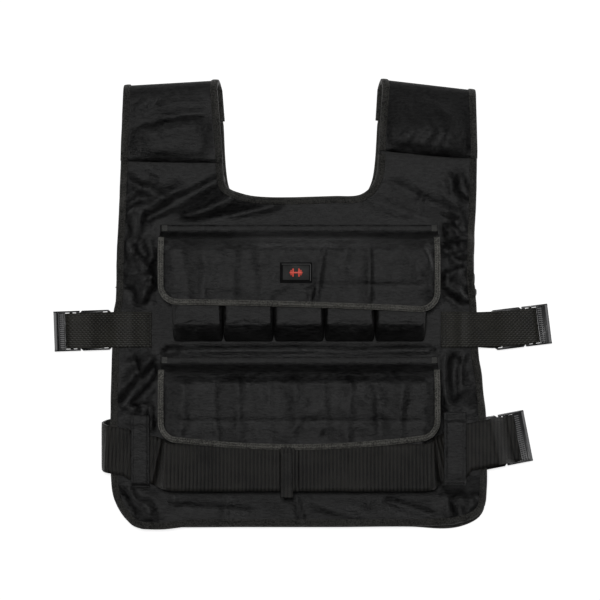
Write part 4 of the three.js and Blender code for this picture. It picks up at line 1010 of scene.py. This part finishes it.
def strap(stations, width, thick, columns, step, relief=None):
    """A strap carried along its stations; relief gives its upper face's height."""
    line = curve_through([(s.x, s.y, s.z) for s in stations], step)
    turns = curve_through([(s.x, s.y, s.turn * TURN_SHARE) for s in stations], step)
    total = len(line)
    rings = []
    walked = 0.0
    for index, point in enumerate(line):
        share = index / (total - 1)
        turn = math.radians(turns[min(len(turns) - 1, round(share * (len(turns) - 1)))].z / TURN_SHARE)
        side = Vector((-math.sin(turn), math.cos(turn), 0))
        along = (line[min(index + 1, total - 1)] - line[max(index - 1, 0)]).normalized()
        normal = along.cross(side).normalized()
        if index:
            walked += (point - line[index - 1]).length
        ring = []
        for column in range(columns + 1):
            across = column / columns - 0.5
            lift = thick / 2 + (relief(walked, across, point) if relief else 0)
            ring.append(point + side * across * width + normal * lift)
        for column in range(columns, -1, -1):
            across = column / columns - 0.5
            ring.append(point + side * across * width - normal * thick / 2)
        rings.append(ring)
    return swept(rings)


def lie_on_front(x, y, turn, width, thick):
    angle = math.radians(turn)
    tops = [
        front_top(x - math.sin(angle) * share * width, y + math.cos(angle) * share * width)
        for share in (-0.5, -0.25, 0, 0.25, 0.5)
    ]
    return max(tops) + REST_GAP + thick / 2


def laid(x, y, turn, width, thick, lift=0.0):
    return Station(x, y, lie_on_front(x, y, turn, width, thick) + lift, turn)


LEFT_LOOP_X = -HALF_HEM * 0.85
RIGHT_LOOP_X = HALF_HEM * 0.83
ON_POUCHES = POUCH_TOP + 0.3 + BELT_THICK / 2
ON_PANEL = PANEL_TOP + REST_GAP + BELT_THICK / 2
JOIN_X = -HALF_HEM * 0.065

# The panels' edges at the side straps, as shares of half the hem
FRONT_EDGE = {"left": 0.9805, "right": 0.9505}
BACK_EDGE = {"left": 0.9627, "right": 0.9538}
Buckle = namedtuple("Buckle", "side turn height width strap x y")
BUCKLES = {
    "left": Buckle(
        -1, 2, SIDE_BUCKLE_HEIGHT, WEBBING_WIDTH, WEBBING_THICK,
        -HALF_HEM * BACK_EDGE["left"] - 9.6, SIDE_STRAP_LINE,
    ),
    "right": Buckle(
        1, 7, SIDE_BUCKLE_HEIGHT, WEBBING_WIDTH, WEBBING_THICK,
        HALF_HEM * BACK_EDGE["right"] + 17.5, SIDE_STRAP_LINE - 1,
    ),
    "belt": Buckle(
        1, 11, BELT_BUCKLE_HEIGHT, BELT_WIDTH, BELT_THICK, HALF_HEM * 0.93, REAR_BELT_LINE - 4,
    ),
}
# Parts of a buckle along the strap: the whole, its bars, its slots and its grip
BUCKLE_LENGTH = 62
BAR = 4
SLOT = 5
GRIP = 12
LADDER_SLOT = BUCKLE_LENGTH - GRIP - SLOT / 2


def outward(buckle, distance, z):
    angle = math.radians(buckle.turn)
    return Station(
        buckle.x + buckle.side * distance * math.cos(angle),
        buckle.y + buckle.side * distance * math.sin(angle), z, buckle.turn,
    )


def ladder_run(buckle):
    """The strap over the buckle, down its slot and back beneath."""
    top = buckle.height + 0.5 + buckle.strap / 2
    low = buckle.strap / 2 + 0.3
    rows = [
        (BUCKLE_LENGTH * 0.35, top + 0.6), (LADDER_SLOT - 6, top + 0.4), (LADDER_SLOT - 0.6, top - 0.2),
        (LADDER_SLOT + 1.2, top - 3), (LADDER_SLOT + 0.9, low + 2.5), (LADDER_SLOT - 1.5, low + 0.6),
        (LADDER_SLOT - 4, low), (LADDER_SLOT - 8, low),
    ]
    return [outward(buckle, distance, z) for distance, z in rows]


def tail_run(buckle):
    """The strap's turn round the socket's tail bar, from its lower side to its upper side."""
    middle = buckle.height * 0.44
    wrap = BAR / 2 + buckle.strap / 2 + 0.3
    in_slot = BAR + SLOT / 2 + 0.5
    rows = [
        (BAR * 0.5, middle - wrap), (BAR + 0.8, middle - wrap), (in_slot, middle - BAR / 2),
        (in_slot, middle + BAR / 2), (BAR + 0.8, middle + wrap), (-1, middle + wrap),
    ]
    return [outward(buckle, distance, z) for distance, z in rows]


def ribs(walked, across, point):
    """Cords of the elastic, 4 mm apart, with flat selvedges."""
    edge = smooth(abs(across), 0.42, 0.48)
    cord = (0.9 * abs(math.sin(math.pi * point.x / RIB_PITCH)) - 0.4) * (1 - edge)
    return cord + 0.6 * ripple(point.x * 0.6, point.y * 1.6, 14, 51)


def cross_folds(walked, across, point):
    """Smooth end of the belt, with soft cross folds."""
    ribbed = 1 - smooth(point.x, 160, 172)
    soft = 0.7 * ripple(point.x * 1.6, point.y * 0.4, 12, 52)
    return ribs(walked, across, point) * ribbed + soft * (1 - ribbed)


def yarn_rows(walked, across, point):
    """Coarse yarns of the side straps."""
    row = math.sin(math.pi * 2 * walked / 2.4)
    bar = math.sin(math.pi * 2 * across * 9)
    return 0.1 * row * bar + 0.3 * ripple(point.x, point.y, 10, 53)


def build_belt():
    laid_left = [
        (-HALF_HEM * 0.985, 17, -12), (-HALF_HEM * 0.93, 14, -9), (LEFT_LOOP_X - 9, 10, -13),
        (LEFT_LOOP_X + 9, 7, -12), (-FLAP_HALF - 3, 4, -9),
    ]
    laid_right = [
        (FLAP_HALF - 1, 5, 12), (RIGHT_LOOP_X - 5, 11, 17), (RIGHT_LOOP_X + 7, 14, 18),
        (HALF_HEM * 0.88, 19, 16), (HALF_HEM * 0.945, 22, 14), (HALF_HEM * 1.045, 26, 12),
    ]

    def on_tape(x):
        return TAPE + 0.6 if abs(x) > HALF_HEM * 0.92 else 0

    left = [laid(x, BELT_LINE + up, turn, BELT_WIDTH, BELT_THICK, on_tape(x)) for x, up, turn in laid_left]
    right = [laid(x, BELT_LINE + up, turn, BELT_WIDTH, BELT_THICK, on_tape(x)) for x, up, turn in laid_right]
    climb_left = [
        Station(-ROW_HALF - 11, BELT_LINE + 3, lerp(ON_PANEL, ON_POUCHES, 0.5), -8),
        Station(-ROW_HALF - 6, BELT_LINE + 1.5, lerp(ON_PANEL, ON_POUCHES, 0.94), -6),
        Station(-ROW_HALF + 3, BELT_LINE, ON_POUCHES, -3),
    ]
    climb_right = [
        Station(ROW_HALF - 3, BELT_LINE, ON_POUCHES, 3),
        Station(ROW_HALF + 6, BELT_LINE + 1.5, lerp(ON_PANEL, ON_POUCHES, 0.94), 7),
        Station(ROW_HALF + 9, BELT_LINE + 3, lerp(ON_PANEL, ON_POUCHES, 0.65), 10),
    ]
    rear = BELT_THICK / 2
    rim = -HALF_HEM * 1.003 - 1.5
    radius = (left[0].z - rear) / 2
    wrap = [
        Station(
            rim - 1.5 - radius * 0.7 * math.cos(turn * math.pi), lerp(REAR_BELT_LINE, left[0].y, turn + 0.5),
            rear + radius + radius * math.sin(turn * math.pi), lerp(0, -7, turn + 0.5),
        ) for turn in (0.5, 0.3, 0, -0.3, -0.5)
    ]
    stations = [Station(JOIN_X + 7.5, BELT_LINE, ON_POUCHES, 0)] + climb_left[::-1] + left[:0:-1] + wrap + [
        Station(-HALF_HEM * 0.9, REAR_BELT_LINE, rear, 0), Station(HALF_HEM * 0.8, REAR_BELT_LINE, rear, 0),
    ] + tail_run(BUCKLES["belt"])
    shape = strap(stations[::-1], BELT_WIDTH, BELT_THICK, 10, 0.9, ribs)
    finish_piece(shape, "belt_left_elastic", RIBBED_ELASTIC, ["belt_left"])
    lap = ON_POUCHES + BELT_THICK + 0.3
    stations = [
        Station(JOIN_X - 7.5, BELT_LINE, lap, 0), Station(JOIN_X + 7.5, BELT_LINE, lap, 0),
        Station(JOIN_X + 15, BELT_LINE, ON_POUCHES + 0.4, 0),
    ] + climb_right + right + ladder_run(BUCKLES["belt"])[1:]
    shape = strap(stations, BELT_WIDTH, BELT_THICK, 10, 0.9, cross_folds)
    finish_piece(shape, "belt_right_elastic", RIBBED_ELASTIC, ["belt_right"])
    cover = [Station(JOIN_X, BELT_LINE + up, lap + BELT_THICK / 2 + 1.1, 90) for up in (-32, -14, 2, 16)]
    finish_piece(strap(cover, 13, 1.0, 12, 2.0), "belt_join_tape", RIBBED_ELASTIC)
    top = lambda x, y: lap + BELT_THICK / 2 + 1.9
    lines = [[(JOIN_X + x, BELT_LINE - 30 + step * 1.0) for step in range(44)] for x in (-4.8, -1.8, 4.6)]
    thread_piece("belt_join_stitches", [
        dict(path=line, top=top, pitch=2.4, length=2.2, wide=0.7) for line in lines
    ])
    build_loop("left_belt_loop", LEFT_LOOP_X, 20, left[2])
    build_loop("right_belt_loop", RIGHT_LOOP_X, 24, right[2])


def build_loop(name, x, width, belt):
    thick = 1.5
    bottom = belt.y - BELT_WIDTH / 2 - 4
    top = belt.y + BELT_WIDTH / 2 + 7
    over = belt.z + (BELT_THICK + thick) / 2 + 1.4
    stations = []
    for y in (bottom - 5, bottom - 2.5, bottom + 1, (bottom + top) / 2, top - 1, top + 4, top + 12):
        lie = lie_on_front(x, y, 90, width, thick) + 0.3
        stations.append(Station(x, y, max(over, lie) if bottom < y < top else lie, 90))

    def hems(walked, across, point):
        fold = 0.9 * smooth(abs(across), 0.34, 0.37)
        return fold + 0.5 * ripple(point.x, point.y, 13, 54)

    shape = strap(stations, width, thick, 20, 1.5, hems)
    finish_piece(shape, f"{name}_cloth", FLAP_CLOTH, [name])
    lines = []
    for y in (bottom - 3.5, bottom - 1.5, top + 6, top + 9.5):
        lines.append([(x - width / 2 + 2 + step, y) for step in range(width - 3)])
    height = lambda px, py: lie_on_front(px, py, 0, 4, thick) + 1.3
    thread_piece(f"{name}_bartacks", [
        dict(path=line, top=height, pitch=1.6, length=1.9, wide=0.9, lean=0.25) for line in lines
    ])


def build_side_strap(name):
    buckle = BUCKLES[name]
    edge = buckle.side * HALF_HEM * FRONT_EDGE[name]
    rows = [(38, 0.0), (25, 0.0), (16, 0.4), (TAPE_WIDTH + 3, 1.8), (-2.5, 1.5)]
    stations = [
        laid(edge - buckle.side * inset, SIDE_STRAP_LINE, 0, WEBBING_WIDTH, WEBBING_THICK, lift)
        for inset, lift in rows
    ] + ladder_run(buckle)
    if buckle.side < 0:
        stations = stations[::-1]
    shape = strap(stations, WEBBING_WIDTH, WEBBING_THICK, 38, 0.8, yarn_rows)
    finish_piece(shape, f"{name}_side_webbing", STRAP_WEBBING, [f"{name}_strap"])
    back_edge = buckle.side * HALF_HEM * BACK_EDGE[name]
    rest = PANEL + REST_GAP + WEBBING_THICK / 2
    over = PANEL + 1.8 + WEBBING_THICK / 2
    stations = [
        Station(back_edge - buckle.side * inset, SIDE_STRAP_LINE, z, 0)
        for inset, z in ((30, rest), (14, rest), (10, over), (0, over))
    ] + tail_run(buckle)[::-1]
    if buckle.side < 0:
        stations = stations[::-1]
    shape = strap(stations, WEBBING_WIDTH, WEBBING_THICK, 38, 1.0, yarn_rows)
    finish_piece(shape, f"{name}_rear_webbing", STRAP_WEBBING, [f"{name}_back_strap"])
    sewn = edge - buckle.side * 36
    height = lambda x, y: lie_on_front(x, y, 0, 4, WEBBING_THICK) + 1.5
    lines = [
        [(sewn + buckle.side * shift, SIDE_STRAP_LINE - 17 + step) for step in range(35)]
        for shift in (0, 3.2)
    ]
    thread_piece(f"{name}_strap_bartacks", [
        dict(path=line, top=height, pitch=1.5, length=1.8, wide=0.9, lean=0.25) for line in lines
    ])


# Hard pieces: their moulded shapes, with the edges eased
def eased_copy(node, name, material, ease):
    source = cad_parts[node]
    shape = bmesh.new()
    shape.from_mesh(source.data)
    shape.transform(source.matrix_world)
    bmesh.ops.remove_doubles(shape, verts=shape.verts, dist=0.00001)
    bmesh.ops.dissolve_limit(shape, angle_limit=0.02, verts=shape.verts, edges=shape.edges)
    bmesh.ops.translate(shape, vec=-ORIGIN, verts=shape.verts)
    resize(shape, 1 / MM)
    sharp = [edge for edge in shape.edges if len(edge.link_faces) == 2 and edge.calc_face_angle() > 0.5]
    bmesh.ops.bevel(
        shape, geom=sharp, offset=ease, segments=2, profile=0.5, affect="EDGES", material=-1,
        clamp_overlap=True,
    )
    return finish_piece(shape, name, material, [node])


def blocks_piece(name, material, blocks):
    """A piece of small eased blocks, each given by its middle, its size and its turn in degrees."""
    shape = bmesh.new()
    for middle, size, turn in blocks:
        place = Matrix.Translation(middle) @ Matrix.Rotation(math.radians(turn), 4, "Z")
        bmesh.ops.create_cube(shape, size=1.0, matrix=place @ Matrix.Diagonal((*size, 1)))
    return finish_piece(shape, name, material, bevel=0.15)


# Teeth and lip of a grip, by their distance out from the socket's end
TEETH_PLACE = 53.2
TOOTH_PITCH = 2.2
TOOTH_SIZE = (4.6, 0.9, 1.0)
LIP_PLACE = 60.4


def build_grip(name):
    """Teeth and lip on the end bar of a buckle."""
    buckle = BUCKLES[name]
    turn = math.radians(buckle.turn)
    across = Vector((-math.sin(turn), math.cos(turn), 0))
    rail = buckle.height - 1.5

    def spot(distance, aside):
        return Vector(outward(buckle, distance, rail)[:3]) + across * aside

    count = int(buckle.width / TOOTH_PITCH)
    teeth = [
        (spot(TEETH_PLACE, (tooth - (count - 1) / 2) * TOOTH_PITCH), TOOTH_SIZE, buckle.turn)
        for tooth in range(count)
    ]
    lip = (spot(LIP_PLACE, 0), (2.2, buckle.width + 3, 1.0), buckle.turn)
    blocks_piece(f"{name}_grip_teeth", GRIP_PLASTIC, teeth + [lip])


def build_hard_pieces():
    for name in BUCKLES:
        build_grip(name)
    (x0, y0, _), (x1, y1, top) = [
        [value / MM for value in Vector(corner) - ORIGIN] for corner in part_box("label_patch")
    ]
    middle = Vector(((x0 + x1) / 2, (y0 + y1) / 2, top - 0.4))
    blocks_piece("patch_face", PATCH_FACE, [(middle, (x1 - x0 - 6, y1 - y0 - 6, 0.4), 0)])
    # Pale lines on the top and right edges of the patch's rim only: painted highlight.
    blocks_piece("patch_rim_painted_highlight", PATCH_RIM_PAINTED_HIGHLIGHT, [
        (Vector((middle.x, y1 - 1.8, top)), (x1 - x0 - 4, 0.6, 0.3), 0),
        (Vector((x1 - 1.8, middle.y, top)), (0.6, y1 - y0 - 4, 0.3), 0),
    ])
    for name in BUCKLES:
        for half in ("socket", "ladder"):
            eased_copy(f"{name}_buckle_{half}", f"{name}_moulded_{half}", BUCKLE_PLASTIC, 0.6)
    eased_copy("label_patch", "rubber_patch", PATCH_RUBBER, 0.5)
    eased_copy("label_emblem", "patch_emblem", RED_RUBBER_PAINTED_LIGHT, 0.2)
    for row in ROWS:
        for count in range(1, 6):
            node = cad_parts[f"{row}_weight_{count}"]
            node.data.materials.clear()
            node.data.materials.append(CAST_IRON)


# Studio: each lamp has its place in metres, its size and its power
LAMPS = (("key", (-0.12, 0.28, 2.6), 0.4, 16.5), ("fill", (0.9, 1.1, 1.8), 1.2, 3))
WHITE = (1, 1, 1, 1)
FLOOR_GLOW = 0.8
SKY_GLOW = 0.03
FLOOR_REACH = 6


def build_studio():
    shape = bmesh.new()
    bmesh.ops.create_grid(shape, x_segments=2, y_segments=2, size=FLOOR_REACH)
    floor = put_in_scene(shape, "floor")
    pale = Finish(
        "pale_floor", Base_Color=(0.9, 0.9, 0.9, 1), Roughness=0.9, Emission_Color=WHITE,
        Emission_Strength=FLOOR_GLOW,
    )
    floor.data.materials.append(pale.material)
    scene = bpy.context.scene
    scene.view_settings.view_transform = "Standard"
    scene.view_settings.exposure = 0.0
    world = bpy.data.worlds.new("studio")
    world.use_nodes = True
    sky = world.node_tree.nodes["Background"].inputs
    sky["Color"].default_value = WHITE
    sky["Strength"].default_value = SKY_GLOW
    scene.world = world
    for name, place, size, power in LAMPS:
        light = bpy.data.lights.new(name, "AREA")
        light.size = size
        light.energy = power
        lamp = bpy.data.objects.new(name, light)
        lamp.location = place
        lamp.rotation_euler = (Vector((0, 0, 0)) - Vector(place)).to_track_quat("-Z", "Y").to_euler()
        scene.collection.objects.link(lamp)


# The camera looks straight down; the shown width is in metres
SENSOR = 36
CAMERA_DISTANCE = 2.2
SHOWN_WIDTH = 0.642


def build_camera():
    camera = bpy.data.cameras.new("camera")
    seat = bpy.data.objects.new("camera", camera)
    camera.sensor_width = SENSOR
    camera.lens = SENSOR * CAMERA_DISTANCE / SHOWN_WIDTH
    seat.location = ORIGIN + Vector((1 * MM, 245.5 * MM, CAMERA_DISTANCE + 0.025))
    bpy.context.scene.collection.objects.link(seat)
    bpy.context.scene.camera = seat


build_camera()
build_studio()
build_back()
build_front()
for side, plan in SHOULDERS.items():
    build_shoulder(side, plan)
build_pouches()
for row in ROWS:
    build_flap(row)
build_belt()
for side in ("left", "right"):
    build_side_strap(side)
build_hard_pieces()
